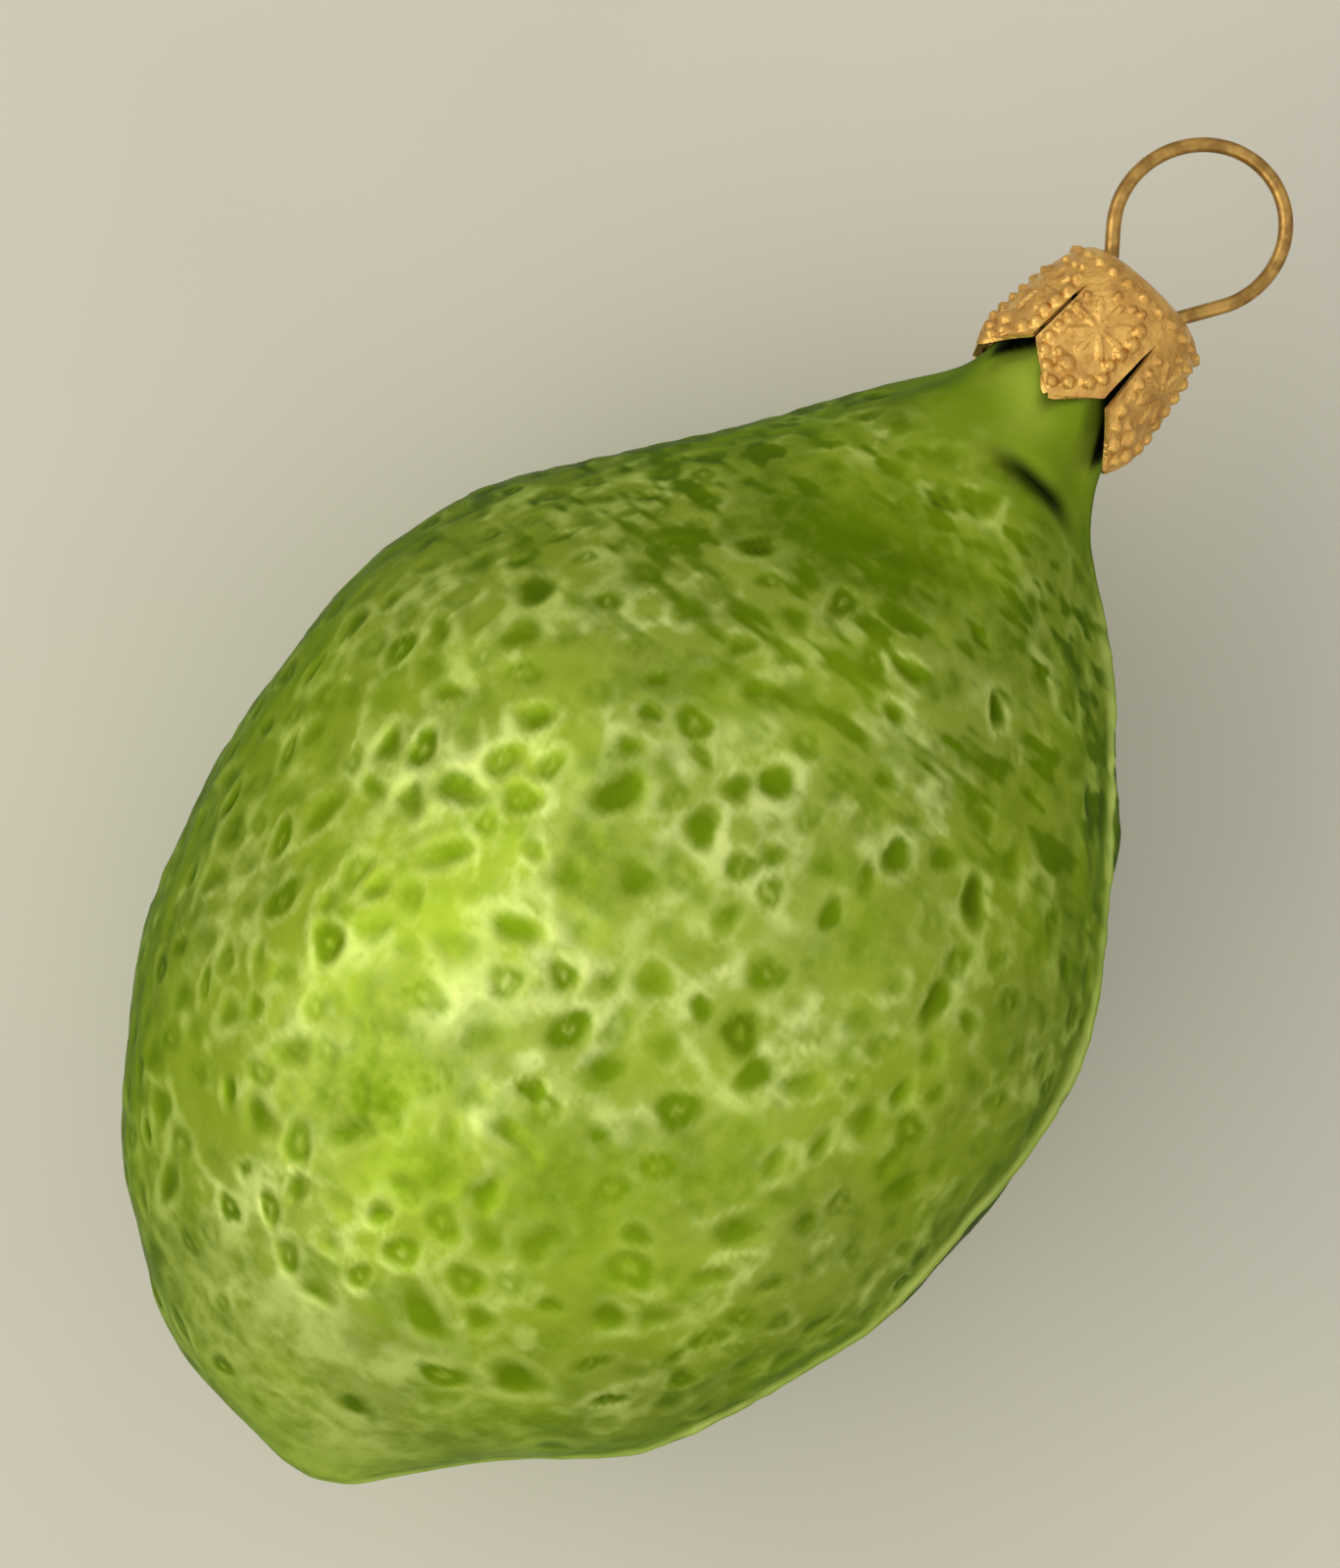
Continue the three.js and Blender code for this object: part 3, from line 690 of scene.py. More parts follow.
sunk, pooled_and_shade, lip, halo, shadowed = np.zeros((5, ROWS, COLUMNS))
for place, pointing, half_length, half_width, depth, kind in pits:
    near, facing, face_number, _ = skin_tree.find_nearest(place)
    row, column = divmod(int(outer_faces[face_number][0]), COLUMNS)
    window = window_round(row, column, PIT_REACH * max(half_length, half_width))
    ahead = (pointing - facing * pointing.dot(facing)).normalized()
    offset = smooth_skin[window] - np.array(near)
    along = offset @ np.array(ahead) / half_length
    across = offset @ np.array(facing.cross(ahead)) / half_width
    # out is 0 in the pit's middle and 1 at its edge, which is a little lopsided and ragged
    turn = np.arctan2(across, along)
    phase = 200 * depth
    uneven = 1 + 0.14 * np.sin(2 * turn + phase) + 0.1 * np.sin(3 * turn - 2 * phase)
    out = np.sqrt(along**2 + across**2) / uneven + RAGGED_EDGE * ragged[window]
    pressed_in, gathered = pit_shape(kind, out, across)
    strength = min(0.12 + 3.0 * depth, 1)
    lay_on(sunk, window, SINKING * depth * pressed_in)
    lay_on(pooled_and_shade, window, gathered * strength)
    lay_on(lip, window, strength * np.exp(-(((out - LIP_PLACE) / LIP_WIDTH) ** 2)))
    lay_on(halo, window, strength * np.exp(-(((out - HALO_PLACE) / HALO_WIDTH) ** 2)))
    lay_on(shadowed, window, pit_shadow(kind, gathered, across, depth))
print("deepest pit", round(float(sunk.max()), 2), "mm")

# %% [markdown]
# ## Pale veins and milky patches
# Between the pits the lacquer is uneven too. Where it ran thin, the silver shines through as pale
# crooked veins, milky patches and soft halos round the stronger pits, and the blossom end is paler
# all over. A vein follows the places where a soft random field passes through zero, and a second
# field breaks it into short pieces. Painting them by hand would leave the back of the fruit empty.

# %% Veins, milk and halos
VEIN_SIZE = 5.2
VEIN_WIDTH = 0.11
VEIN_PALE = 0.45
MILK_PALE = 0.4
HALO_PALE = 0.55
BLOSSOM_ZONE = (0.8, 0.93)
BLOSSOM_PALE = 0.42
TIP_ZONE = (0.94, 1.0)
TIP_PALE = 0.4
first_field = crooked(smooth_skin, VEIN_SIZE, 0.45 * VEIN_SIZE, 5.9, 23.1)
second_field = crooked(smooth_skin, VEIN_SIZE, 0.45 * VEIN_SIZE, 41.3, 67.7)
veins = np.exp(-((first_field / VEIN_WIDTH) ** 2)) * smoothstep(second_field, -0.15, 0.25)
veins += np.exp(-((second_field / VEIN_WIDTH) ** 2)) * smoothstep(first_field, 0.0, 0.35)
milky = smoothstep(wavering(smooth_skin, 3.4, 89.1) + 0.6 * wavering(smooth_skin, 1.6, 97.3), 0.0, 0.75)
broken_halo = halo * smoothstep(first_field, -0.7, 0.1)
pale_and_highlight = VEIN_PALE * veins + MILK_PALE * milky + HALO_PALE * broken_halo
pale_and_highlight += BLOSSOM_PALE * smoothstep(grid_share, *BLOSSOM_ZONE) + TIP_PALE * smoothstep(grid_share, *TIP_ZONE)
pale_and_highlight = np.clip(pale_and_highlight, 0, 1)
print("share of the skin that is pale:", round(float((pale_and_highlight > 0.4).mean()), 2))

# %% [markdown]
# ## Painted highlights and shade that stand out
# Some pale spots and some patches of deeper green are as plain to see as the marked pits. The pale
# spots are mostly painted highlights, and a few are pale lacquer: a star of them round the twin pit,
# streaks beside it. The green patches are painted shade: a shaded shoulder under the neck, and darker
# gaps that break up the gleam. They are listed by pixel in the same way. Each is an oval with a ragged
# edge, laid over the random pattern, which goes on round the back. A painted picture would do it too,
# but only for the side that is seen.

# %% Painted highlight spots and shade patches
PATCH_RAGGED = 0.25
PATCH_SOFTNESS = 1.3
# mostly painted highlights, glints and the gleam, and a few spots of pale lacquer
PALE_AND_HIGHLIGHT_SPOTS = [
    # pixel x, pixel y, length and width in mm, turn in degrees in the picture, strength
    (709, 1075, 3.6, 0.8, -55, 0.8),
    (745, 1122, 2.4, 0.9, -35, 1.0),
    (792, 1105, 3.0, 0.9, 55, 1.0),
    (815, 1040, 2.4, 1.0, -20, 0.9),
    (855, 1062, 2.4, 1.1, 60, 0.8),
    (818, 1085, 2.0, 1.2, 40, 0.6),
    (612, 1070, 4.0, 0.7, 38, 0.8),
    (700, 910, 4.2, 0.7, 38, 0.7),
    (765, 745, 3.2, 2.2, 0, 0.9),
    (630, 600, 3.6, 1.8, 20, 0.7),
    (430, 790, 2.2, 1.4, 30, 0.8),
    (540, 1083, 1.5, 1.2, 0, 0.9),
    (365, 870, 1.8, 1.0, 30, 0.7),
    (280, 1330, 3.4, 1.6, 30, 0.8),
    (725, 1329, 1.6, 1.5, 0, 0.8),
    (690, 770, 2.2, 0.9, -60, 0.9),
    (875, 640, 2.0, 1.6, 30, 0.6),
    (300, 790, 2.0, 1.5, 60, 0.7),
    (345, 1060, 2.6, 2.0, 60, 0.5),
    (380, 1230, 3.0, 1.6, 60, 0.5),
    (385, 832, 3.0, 1.4, 45, 0.7),
    (500, 935, 3.2, 2.0, 60, 0.8),
    (478, 1022, 5.6, 3.2, 50, 1.0),
    (552, 1118, 4.0, 2.6, 0, 0.6),
    (462, 800, 4.5, 2.4, 30, 0.6),
    (415, 793, 2.4, 1.8, 30, 1.0),
    (550, 1028, 3.0, 1.2, 10, 0.7),
    (318, 1000, 2.8, 1.8, 70, 0.6),
    (398, 975, 2.8, 1.4, 50, 0.6),
    (655, 945, 4.2, 1.3, 50, 0.6),
    (455, 885, 3.0, 1.1, 20, 0.6),
    (560, 850, 3.0, 1.8, 45, 0.5),
    (230, 1262, 5.0, 2.6, 70, 0.6),
    (500, 790, 3.6, 1.2, 10, 0.6),
]
# painted shade: a darker shoulder under the neck and darker gaps in the gleam
SHADE_PATCHES = [
    # pixel x, pixel y, length and width in mm, turn in degrees in the picture, strength
    (880, 556, 13.0, 5.6, -22, 0.6),
    (1010, 640, 6.0, 5.0, -50, 0.35),
    (1078, 500, 5.0, 3.5, -60, 0.35),
    (580, 1205, 8.5, 5.6, 0, 0.44),
    (700, 1195, 9.0, 5.5, 0, 0.4),
    (560, 1262, 6.0, 3.5, 0, 0.35),
    (385, 1035, 6.0, 5.0, 0, 0.34),
    (395, 1110, 9.0, 4.0, 20, 0.45),
    (440, 1195, 4.5, 4.0, 0, 0.4),
    (605, 885, 3.6, 5.4, 0, 0.4),
    (700, 700, 5.0, 4.5, 0, 0.35),
    (620, 790, 4.5, 3.5, 0, 0.35),
    (425, 1345, 5.0, 3.4, -40, 0.35),
    (880, 960, 4.5, 4.0, 0, 0.3),
]


def patch_share(pixel_x, pixel_y, length, width, degrees):
    """1 inside a ragged oval patch, placed by where it is seen, and 0 away from it."""
    offset = smooth_skin - np.array(spot_on_skin(pixel_x, pixel_y))
    along = offset @ np.array(picture_way(degrees)) / (length / 2)
    across = offset @ np.array(picture_way(degrees + 90)) / (width / 2)
    out = np.sqrt(along**2 + across**2 + (offset[:, :, 2] / length) ** 2) + PATCH_RAGGED * ragged
    return 0.5 - 0.5 * np.tanh((out - 1.0) * PATCH_SOFTNESS)


# painted shade of the patches, which also dims the pale layer
patch_shade = np.zeros((ROWS, COLUMNS))
for *patch, strength in SHADE_PATCHES:
    patch_shade = np.maximum(patch_shade, strength * patch_share(*patch))
pale_and_highlight *= 1 - 0.8 * patch_shade
# painted highlights, with some pale lacquer, laid over the pale layer
for *patch, strength in PALE_AND_HIGHLIGHT_SPOTS:
    pale_and_highlight = np.maximum(pale_and_highlight, strength * patch_share(*patch))
print(len(PALE_AND_HIGHLIGHT_SPOTS), "pale spots and", len(SHADE_PATCHES), "green patches laid on")

# %% [markdown]
# ## Painted highlight and shade along the seam
# On the ridge of the mould's seam a pale line is painted, as a painted highlight where the ridge
# catches the light. Just below the ridge, on the side towards the table, an uneven darker band of
# painted shade is laid on. The distance below the seam, measured round the skin, gives both, on the
# two sides of the fruit at once. A line drawn on the finished mesh would have to be drawn twice and
# would miss the ridge.

# %% Painted highlight line and shaded band
SEAM_SHINE = 0.75
PAST_NECK = (0.16, 0.3)
SEAM_SHADE_START = (1.2, 2.2)
SEAM_SHADE_END = (2.8, 5.6)
# the angle up from the seam on the +Y side, and the angle down from it on the -Y side
above_left = (grid_angle - SEAM_ANGLE + math.pi) % TURN - math.pi
below_right = (grid_angle - SEAM_ANGLE) % TURN - math.pi
on_left = np.abs(above_left) < np.abs(below_right)
under_seam = np.where(on_left, -above_left, below_right) * grid_radius
past_neck = smoothstep(grid_share, *PAST_NECK)
# painted highlight: a pale line along the ridge of the seam
seam_highlight = np.exp(-((under_seam / SEAM_SHINE) ** 2)) * past_neck
# painted shade: a darker band below the seam, on the side towards the table, with a ragged lower end
seam_shade_fade = 1 - smoothstep(under_seam + 1.5 * second_field, *SEAM_SHADE_END)
seam_shade = smoothstep(under_seam, *SEAM_SHADE_START) * seam_shade_fade * past_neck
print("the dark band covers", round(100 * float((seam_shade > 0.5).mean()), 1), "percent of the skin")

# %% [markdown]
# ## Fine unevenness, and the spot it rests on
# Between the pits the skin still wavers by a few hundredths of a millimetre, which breaks the gloss
# into soft flakes, and shallow dents keep the outline from being too smooth. On the shoulder fine
# streaks run round the fruit, raised a little, with deeper green between them. Last of all, the
# lowest points are pressed flat against the table, as in the solid part, so that the lime neither
# sinks nor hovers. A bump map would leave the outline as smooth as a turned shape.

# %% Waver, dents, streaks and rest spot
WAVER_SIZE = 2.2
WAVER_HEIGHT = 0.08
DENT_SIZE = 5.0
DENT_HEIGHT = 0.2
STREAK_SIZE = 0.9
STREAK_HEIGHT = 0.09
# millimetres to a radian, far fewer than on the fruit, which draws the streaks out sideways
STREAK_DRAW = 4.2
STREAK_START = (0.14, 0.22)
STREAK_FADE = (0.3, 0.5)
LIP_HEIGHT = 0.05
VEIN_HEIGHT = 0.03
waver = crooked(smooth_skin, WAVER_SIZE, 0.5 * WAVER_SIZE, 7.1, 3.3)
peel = smoothstep(grid_share + 0.02 * waver, 0.13, 0.21)
dents = wavering(smooth_skin, DENT_SIZE, 15.5)
unrolled = grid_angle[:, :, None] * (0, STREAK_DRAW, 0) + grid_distance[:, :, None] * (1, 0, 0)
streak = crooked(unrolled, STREAK_SIZE, 0.5 * STREAK_SIZE, 52.3, 61.9)
streak_zone = smoothstep(grid_share, *STREAK_START) * (1 - 0.8 * smoothstep(grid_share, *STREAK_FADE))
streak_pooled = smoothstep(-streak, -0.15, 0.5) * streak_zone
height = relief - sunk + (LIP_HEIGHT * lip + VEIN_HEIGHT * pale_and_highlight) * (1 - pooled_and_shade)
height += (WAVER_HEIGHT * (waver - 0.3) + DENT_HEIGHT * (dents - 0.4)) * (0.35 + 0.65 * peel)
height += STREAK_HEIGHT * streak * streak_zone
fruit_skin = moved(round_centre(grid_distance, grid_radius + height, grid_angle), rest_place)
fruit_skin[:, :, 2] = np.maximum(fruit_skin[:, :, 2], 0)
print("points pressed flat on the table:", int((fruit_skin[:, :, 2] == 0).sum()))

# %% [markdown]
# ## The hollow inside
# The real lime is an empty shell with an open neck. The inside gets far fewer rows, because nobody
# sees it, and it is joined to the outside at the rim of the neck, so that the whole is one closed
# body of glass.

# %% Inner skin and the glass mesh
INNER_ROWS = 14
TIP_WALL = 1.4 * GLASS_WALL
LAST_INNER_ROW = FRUIT_LENGTH - 2.2 * TIP_WALL
inner_distance = np.linspace(row_distance[0], LAST_INNER_ROW, INNER_ROWS)
inner_radius = np.interp(inner_distance, outline[:, 0], outline[:, 1])
wall = NECK_WALL + (GLASS_WALL - NECK_WALL) * smoothstep(inner_distance / FRUIT_LENGTH, 0.1, 0.2)
inner_grid = round_centre(inner_distance[:, None], (inner_radius - wall)[:, None], column_angle[None, :])
inner_skin = moved(inner_grid, rest_place)
tip_out = moved(round_centre(np.array([FRUIT_LENGTH]), 0, 0), rest_place)
tip_in = moved(round_centre(np.array([FRUIT_LENGTH - TIP_WALL]), 0, 0), rest_place)


def mesh_of(name, points, corners):
    """A smooth-shaded mesh object from points in mm and lists of corner numbers."""
    mesh = bpy.data.meshes.new(name)
    mesh.from_pydata((points * MM).tolist(), [], corners)
    mesh.validate()
    mesh.shade_smooth()
    piece = bpy.data.objects.new(name, mesh)
    bpy.context.scene.collection.objects.link(piece)
    return piece


outer_count = ROWS * COLUMNS
inner_count = INNER_ROWS * COLUMNS
inner_faces = skin_faces(INNER_ROWS, COLUMNS)[:, ::-1] + outer_count
tip_number = outer_count + inner_count
glass_faces = outer_faces.tolist() + inner_faces.tolist()
last_out = (ROWS - 1) * COLUMNS
last_in = outer_count + (INNER_ROWS - 1) * COLUMNS
for column in range(COLUMNS):
    after = (column + 1) % COLUMNS
    glass_faces.append([last_out + column, last_out + after, tip_number])
    glass_faces.append([last_in + after, last_in + column, tip_number + 1])
    glass_faces.append([after, column, outer_count + column, outer_count + after])
glass_points = np.vstack([fruit_skin.reshape(-1, 3), inner_skin.reshape(-1, 3), tip_out, tip_in])
glass = mesh_of("glass_lime", glass_points, glass_faces)
print("glass:", len(glass.data.vertices), "points and", len(glass.data.polygons), "faces")

# %% [markdown]
# ## What the lacquer has to know
# The lacquer is a material, and it can't know by itself where a pit or the seam is. So the layers
# are stored on the mesh as attributes, one number for each point: pooled lacquer with painted shade,
# rough peel, bare glass with painted shade, pale lacquer with painted highlights, the seam's painted
# highlight and the silvered side. Under the flaps the glass is bare; just past their edges a painted
# shadow of the flaps darkens it, and painted shade darkens the fold, the walls of slits, the bottom
# of deep pits and a little below the seam. Attributes stay exactly where the shape is, which a
# pattern made in the material would not.

# %% Store the layers on the glass
BARE_AND_SHADOW_EDGE = (0.1, 1.0)
SHADED_SIDE = (2.3, 2.7, 3.5, 4.0)
SHADE_REACH = 1.1
SECTOR = TURN / FLAPS


def keep_layer(name, values):
    """Stores a layer on the glass; the points that come after the outer skin's get 0."""
    attribute = glass.data.attributes.new(name, "FLOAT", "POINT")
    full = np.zeros(len(glass.data.vertices), np.float32)
    full[: values.size] = values.ravel()
    attribute.data.foreach_set("value", full)


# painted shade: the seam's shaded band and the shade patches join the pooled layer and take the deep pit
# green
pooled_and_shade = np.maximum(np.maximum(pooled_and_shade, 0.85 * streak_pooled), 0.7 * seam_shade)
pooled_and_shade = np.maximum(pooled_and_shade, patch_shade * (1.3 + 0.6 * ragged))
# how far each point lies past the pointed edge of the flap above it, in mm
from_first_flap = grid_angle - TURN / 4 + WALL_TWIST + ROLL
off_flap_middle = np.abs((from_first_flap + SECTOR / 2) % SECTOR - SECTOR / 2)
flap_edge = CAP_HEIGHT - (CAP_HEIGHT - CORNER_DEPTH) * off_flap_middle / (SECTOR / 2)
past_flap = grid_distance + centre_path[0][0] - flap_edge - SHADE_REACH * zone(grid_angle, *SHADED_SIDE)
# painted shadow of the flaps just past their edges, reaching further on the shaded side; under the flaps
# the glass is bare
bare_glass_and_shade = 1 - smoothstep(past_flap, *BARE_AND_SHADOW_EDGE)
# painted shade in the fold
bare_glass_and_shade = np.maximum(bare_glass_and_shade, in_fold(grid_distance, grid_angle))
# painted shade on the walls of slits, at the bottom of deep pits, and a little below the seam
bare_glass_and_shade = np.maximum(bare_glass_and_shade, np.maximum(shadowed, 0.3 * seam_shade))
keep_layer("pooled_and_shade", pooled_and_shade)
keep_layer("peel", peel)
keep_layer("bare_glass_and_shade", bare_glass_and_shade)
# pale lacquer, and painted highlights from the spots
keep_layer("pale_and_highlight", pale_and_highlight * (1 - 0.75 * pooled_and_shade))
keep_layer("seam_highlight_layer", seam_highlight)
keep_layer("silver_side", np.arange(len(glass.data.vertices)) >= outer_count)
print("layers:", [a.name for a in glass.data.attributes if a.data_type == "FLOAT"])

# %% [markdown]
# ## The cap's sheet
# The cap is stamped from thin sheet and folded down into six pointed flaps. It is built as it is
# made: first the profile from the middle of the top plate to a flap's point, then six sectors of
# it, cut apart below a notch. A turned cylinder with holes would not give the flaps' free edges.

# %% Profile and flaps
NOTCH_DEPTH = 2.35
FLAP_GAP = math.radians(1.4)
POINT_BLUNTNESS = 0.1
CAP_PROFILE = [
    # distance from the axis, and depth below the top plate
    (0.0, 0.08),
    (1.6, 0.09),
    (3.0, 0.12),
    (3.85, 0.45),
    (4.35, 1.05),
    (4.65, 1.9),
    (4.82, 2.8),
    (5.0, 4.3),
    (5.16, 6.0),
    (5.28, 7.2),
    (5.36, CAP_HEIGHT),
]
CAP_ROWS = 116
cap_profile = resampled(smooth_curve(CAP_PROFILE, 20), CAP_ROWS)
cap_ahead = np.gradient(cap_profile, axis=0)
cap_ahead /= np.linalg.norm(cap_ahead, axis=1)[:, None]


def flap_half_angle(depth):
    """Half the angle that a flap spans: nearly touching its neighbours, then drawn in to a point."""
    full = math.pi / FLAPS
    sides = full - FLAP_GAP * smoothstep(depth, NOTCH_DEPTH, NOTCH_DEPTH + 1.2)
    left = np.clip((CAP_HEIGHT - depth) / (CAP_HEIGHT - CORNER_DEPTH), 0.004, 1)
    return sides * np.sqrt((left**2 + 2 * POINT_BLUNTNESS * left) / (1 + 2 * POINT_BLUNTNESS))


print("cap profile", round(lengths_along(cap_profile)[-1], 1), "mm from the middle to a point")

# %% [markdown]
# ## The stamped pattern
# Every flap carries the same die: a blossom of eight petals, beads down both edges, and a double
# row of beads towards the point. Each bead is a small round hump and each petal a long one with a
# groove. Real relief is needed here: the beads make the outline knobbly, which a bump map can't do.

# %% Beads and petals
PETALS = 8
PETAL_LENGTH = 1.75
PETAL_WIDTH = 0.27
PETAL_HEIGHT = 0.2
BEAD_HEIGHT = 0.38
DIE_BEADS = [
    # place to the side and below the blossom's middle, and radius, in mm
    (-1.85, -0.95, 0.26),
    (-1.82, -0.17, 0.28),
    (-1.85, 0.55, 0.3),
    (-1.78, 1.24, 0.3),
    (-1.72, 2.0, 0.34),
    (-1.4, 2.72, 0.36),
    (-0.68, 3.34, 0.38),
    (0.06, 3.75, 0.34),
    (0.68, 3.2, 0.4),
    (1.45, 2.47, 0.42),
    (1.9, 1.82, 0.38),
    (1.7, 1.08, 0.4),
    (1.78, 0.28, 0.42),
    (1.9, -0.56, 0.44),
    (1.72, -1.36, 0.42),
    (-0.06, 2.57, 0.54),
    (-0.75, 2.3, 0.24),
    (0.62, -1.95, 0.24),
    (-0.55, -1.95, 0.26),
    (1.2, -2.1, 0.24),
]


def dome(distance_squared):
    """A round hump that is 1 in the middle and 0 from distance 1 on."""
    return np.clip(1 - distance_squared, 0, 1) ** 0.8


def die_relief(side, below):
    """The stamped height at a place beside and below the blossom's middle."""
    height = np.zeros(side.shape)
    for bead_side, bead_below, radius in DIE_BEADS:
        away = ((side - bead_side) ** 2 + (below - bead_below) ** 2) / radius**2
        height = np.maximum(height, BEAD_HEIGHT * (0.5 + radius) * dome(away))
    for petal in range(PETALS):
        turn = TURN * (petal + 0.05) / PETALS
        out = side * math.cos(turn) + below * math.sin(turn)
        off = side * math.sin(turn) - below * math.cos(turn)
        share = np.clip(out / PETAL_LENGTH, 0, 1)
        width = PETAL_WIDTH * (0.22 + 0.95 * share) * np.sqrt(np.clip(1 - share**6, 0, 1)) + 1e-6
        body = dome((off / width) ** 2) * (out > 0)
        groove = 1 - 0.35 * np.exp(-((off / (0.35 * width)) ** 2))
        height = np.maximum(height, PETAL_HEIGHT * (0.55 + 0.6 * share) * body * groove)
    return height


tallest_bead = BEAD_HEIGHT * (0.5 + max(radius for _, _, radius in DIE_BEADS))
print(len(DIE_BEADS), "beads and", PETALS, "petals, the tallest bead", round(tallest_bead, 2), "mm high")

# %% [markdown]
# ## Six sectors of stamped sheet
# Each sector is a grid from the middle of the plate to a flap's point, raised by the die, with a
# ring of longer beads round the shoulder. The die never hits the middle of a flap exactly, so the
# pattern is shifted a little on each. This cap has been handled: its wall is pushed to one side, the
# gap beside the front flap is wide, and one flap is longer and stands off. Six perfect copies made
# by an array modifier would look machine-made.

# %% Sectors of the cap
CAP_RADIUS = 5.1
BLOSSOM_DEPTH = 3.95
DIE_SLIP = 0.3
RING_BEADS = 25
RING_PLACE = 4.75
RING_LONG = 0.36
RING_WIDE = 0.27
WALL_SHIFT = 0.25
FRONT_FLAP = 0
WIDE_GAP = math.radians(2.2)
LONG_FLAP = 1
LONG_SHARE = 0.07
LONG_FLARE = 0.3
EDGE_HEIGHT = 0.04
FLAP_COLUMNS = 44


def cap_sector(flap):
    """The points of one sector's sheet, with the stamped pattern raised on it."""
    depth = cap_profile[:, 1][:, None]
    radius = cap_profile[:, 0][:, None]
    travelled = lengths_along(cap_profile)[:, None]
    half = flap_half_angle(depth)
    side_share = np.linspace(-1, 1, FLAP_COLUMNS + 1)[None, :]
    turn = side_share * half
    if flap == FRONT_FLAP:
        # one side of the front flap is drawn in, which widens the gap beside it
        opening = WIDE_GAP * smoothstep(depth, NOTCH_DEPTH, CORNER_DEPTH)
        turn = turn - opening * np.clip(side_share, 0, 1) * np.minimum(half / 0.4, 1)
    slip = -DIE_SLIP if flap == FRONT_FLAP else dice.uniform(-DIE_SLIP, DIE_SLIP)
    wall_zone = smoothstep(depth, 0.5, 1.3)
    raised = die_relief(turn * CAP_RADIUS - slip, depth - BLOSSOM_DEPTH) * wall_zone
    angle = math.pi / 2 + flap * TURN / FLAPS + turn
    ring_turn = (angle * RING_BEADS / TURN) % 1 - 0.5
    ring_side = ring_turn * TURN / RING_BEADS * np.maximum(radius, 0.1)
    ring_away = (ring_side / RING_LONG) ** 2 + ((travelled - RING_PLACE) / RING_WIDE) ** 2
    raised = np.maximum(raised, 0.75 * BEAD_HEIGHT * dome(ring_away))
    edge = smoothstep(np.abs(side_share), 0.9, 1.0) * smoothstep(depth, NOTCH_DEPTH, NOTCH_DEPTH + 0.8)
    raised = raised * (1 - 0.8 * edge) + EDGE_HEIGHT * edge
    out = cap_ahead[:, 0][:, None] * raised - depth
    across = radius + cap_ahead[:, 1][:, None] * raised
    if flap == LONG_FLAP:
        out *= 1 + LONG_SHARE * smoothstep(depth, 3.5, CAP_HEIGHT)
        across = across + LONG_FLARE * smoothstep(depth, 3.0, CAP_HEIGHT)
    pushed = smoothstep(depth, -0.2, 0.9)
    angle = angle - WALL_TWIST * pushed
    across_y = across * np.cos(angle) - WALL_SHIFT * pushed
    return np.stack([out, across_y, across * np.sin(angle)], -1)


sector_points = [cap_sector(flap) for flap in range(FLAPS)]
print("each flap has", sector_points[0].shape[0] * sector_points[0].shape[1], "points")

# %% [markdown]
# ## Where the cap and the wire sit
# Cap and wire share one axis, and the cap sits a little askew on the neck, as most such caps do.
# They are turned back by the fruit's own roll, so that one flap and the flat side of the loop face
# straight up.

# %% Place of the cap's axis
CAP_LEAN = math.radians(-9.3)
CAP_SHIFT = 0.17
hanger_place = (
    rest_place
    @ Matrix.Translation((centre_path[0][0], centre_path[0][1] + CAP_SHIFT, 0))
    @ Matrix.Rotation(CAP_LEAN, 4, "Z")
    @ Matrix.Rotation(-ROLL, 4, "X")
)
print("the cap's top is at", [round(c, 1) for c in hanger_place.translation], "mm")

# %% [markdown]
# ## Give the sheet its thickness
# The six sectors are welded where they touch, above the notches. Solidify then gives the sheet its
# thickness inwards, which keeps the outside at its true size, and two small holes for the wire are
# cut with a Boolean. Modelling both faces by hand would be the same shape with twice the work.

# %% Weld, thicken and pierce the cap
SHEET = 0.22
HOLE_SPREAD = 2.25
HOLE_RADIUS = 0.72
PUNCH_LENGTH = 2
PUNCH_SIDES = 40
WELD_DISTANCE = 0.004
SHARPEST_SMOOTH = math.radians(50)
sector_faces = []
points_per_row = FLAP_COLUMNS + 1
points_per_sector = CAP_ROWS * points_per_row
for flap in range(FLAPS):
    for row in range(CAP_ROWS - 1):
        first = flap * points_per_sector + row * points_per_row
        for column in range(FLAP_COLUMNS):
            a = first + column
            b = a + points_per_row
            sector_faces.append([a, b, b + 1, a + 1])
cap = mesh_of("crown_cap_gold", np.vstack([p.reshape(-1, 3) for p in sector_points]), sector_faces)


def apply_modifiers(piece):
    """Replaces the piece's mesh by what its modifiers make of it."""
    bpy.context.view_layer.update()
    graph = bpy.context.evaluated_depsgraph_get()
    made = bpy.data.meshes.new_from_object(piece.evaluated_get(graph))
    piece.modifiers.clear()
    piece.data = made


weld = cap.modifiers.new("weld", "WELD")
weld.merge_threshold = WELD_DISTANCE * MM
thicken = cap.modifiers.new("sheet", "SOLIDIFY")
thicken.thickness = SHEET * MM
thicken.offset = -1
apply_modifiers(cap)
for side in (-1, 1):
    bpy.ops.mesh.primitive_cylinder_add(
        vertices=PUNCH_SIDES,
        radius=HOLE_RADIUS * MM,
        depth=PUNCH_LENGTH * MM,
        location=(0, side * HOLE_SPREAD * MM, 0),
        rotation=(0, math.pi / 2, 0),
    )
    punch = bpy.context.object
    hole = cap.modifiers.new("hole", "BOOLEAN")
    hole.operation = "DIFFERENCE"
    hole.solver = "MANIFOLD"
    hole.object = punch
    apply_modifiers(cap)
    bpy.data.objects.remove(punch)
cap.data.materials.clear()
cap.data.transform(Matrix.Scale(MM, 4) @ hanger_place @ Matrix.Scale(1 / MM, 4))
cap.data.set_sharp_from_angle(angle=SHARPEST_SMOOTH)
print("cap:", len(cap.data.vertices), "points")

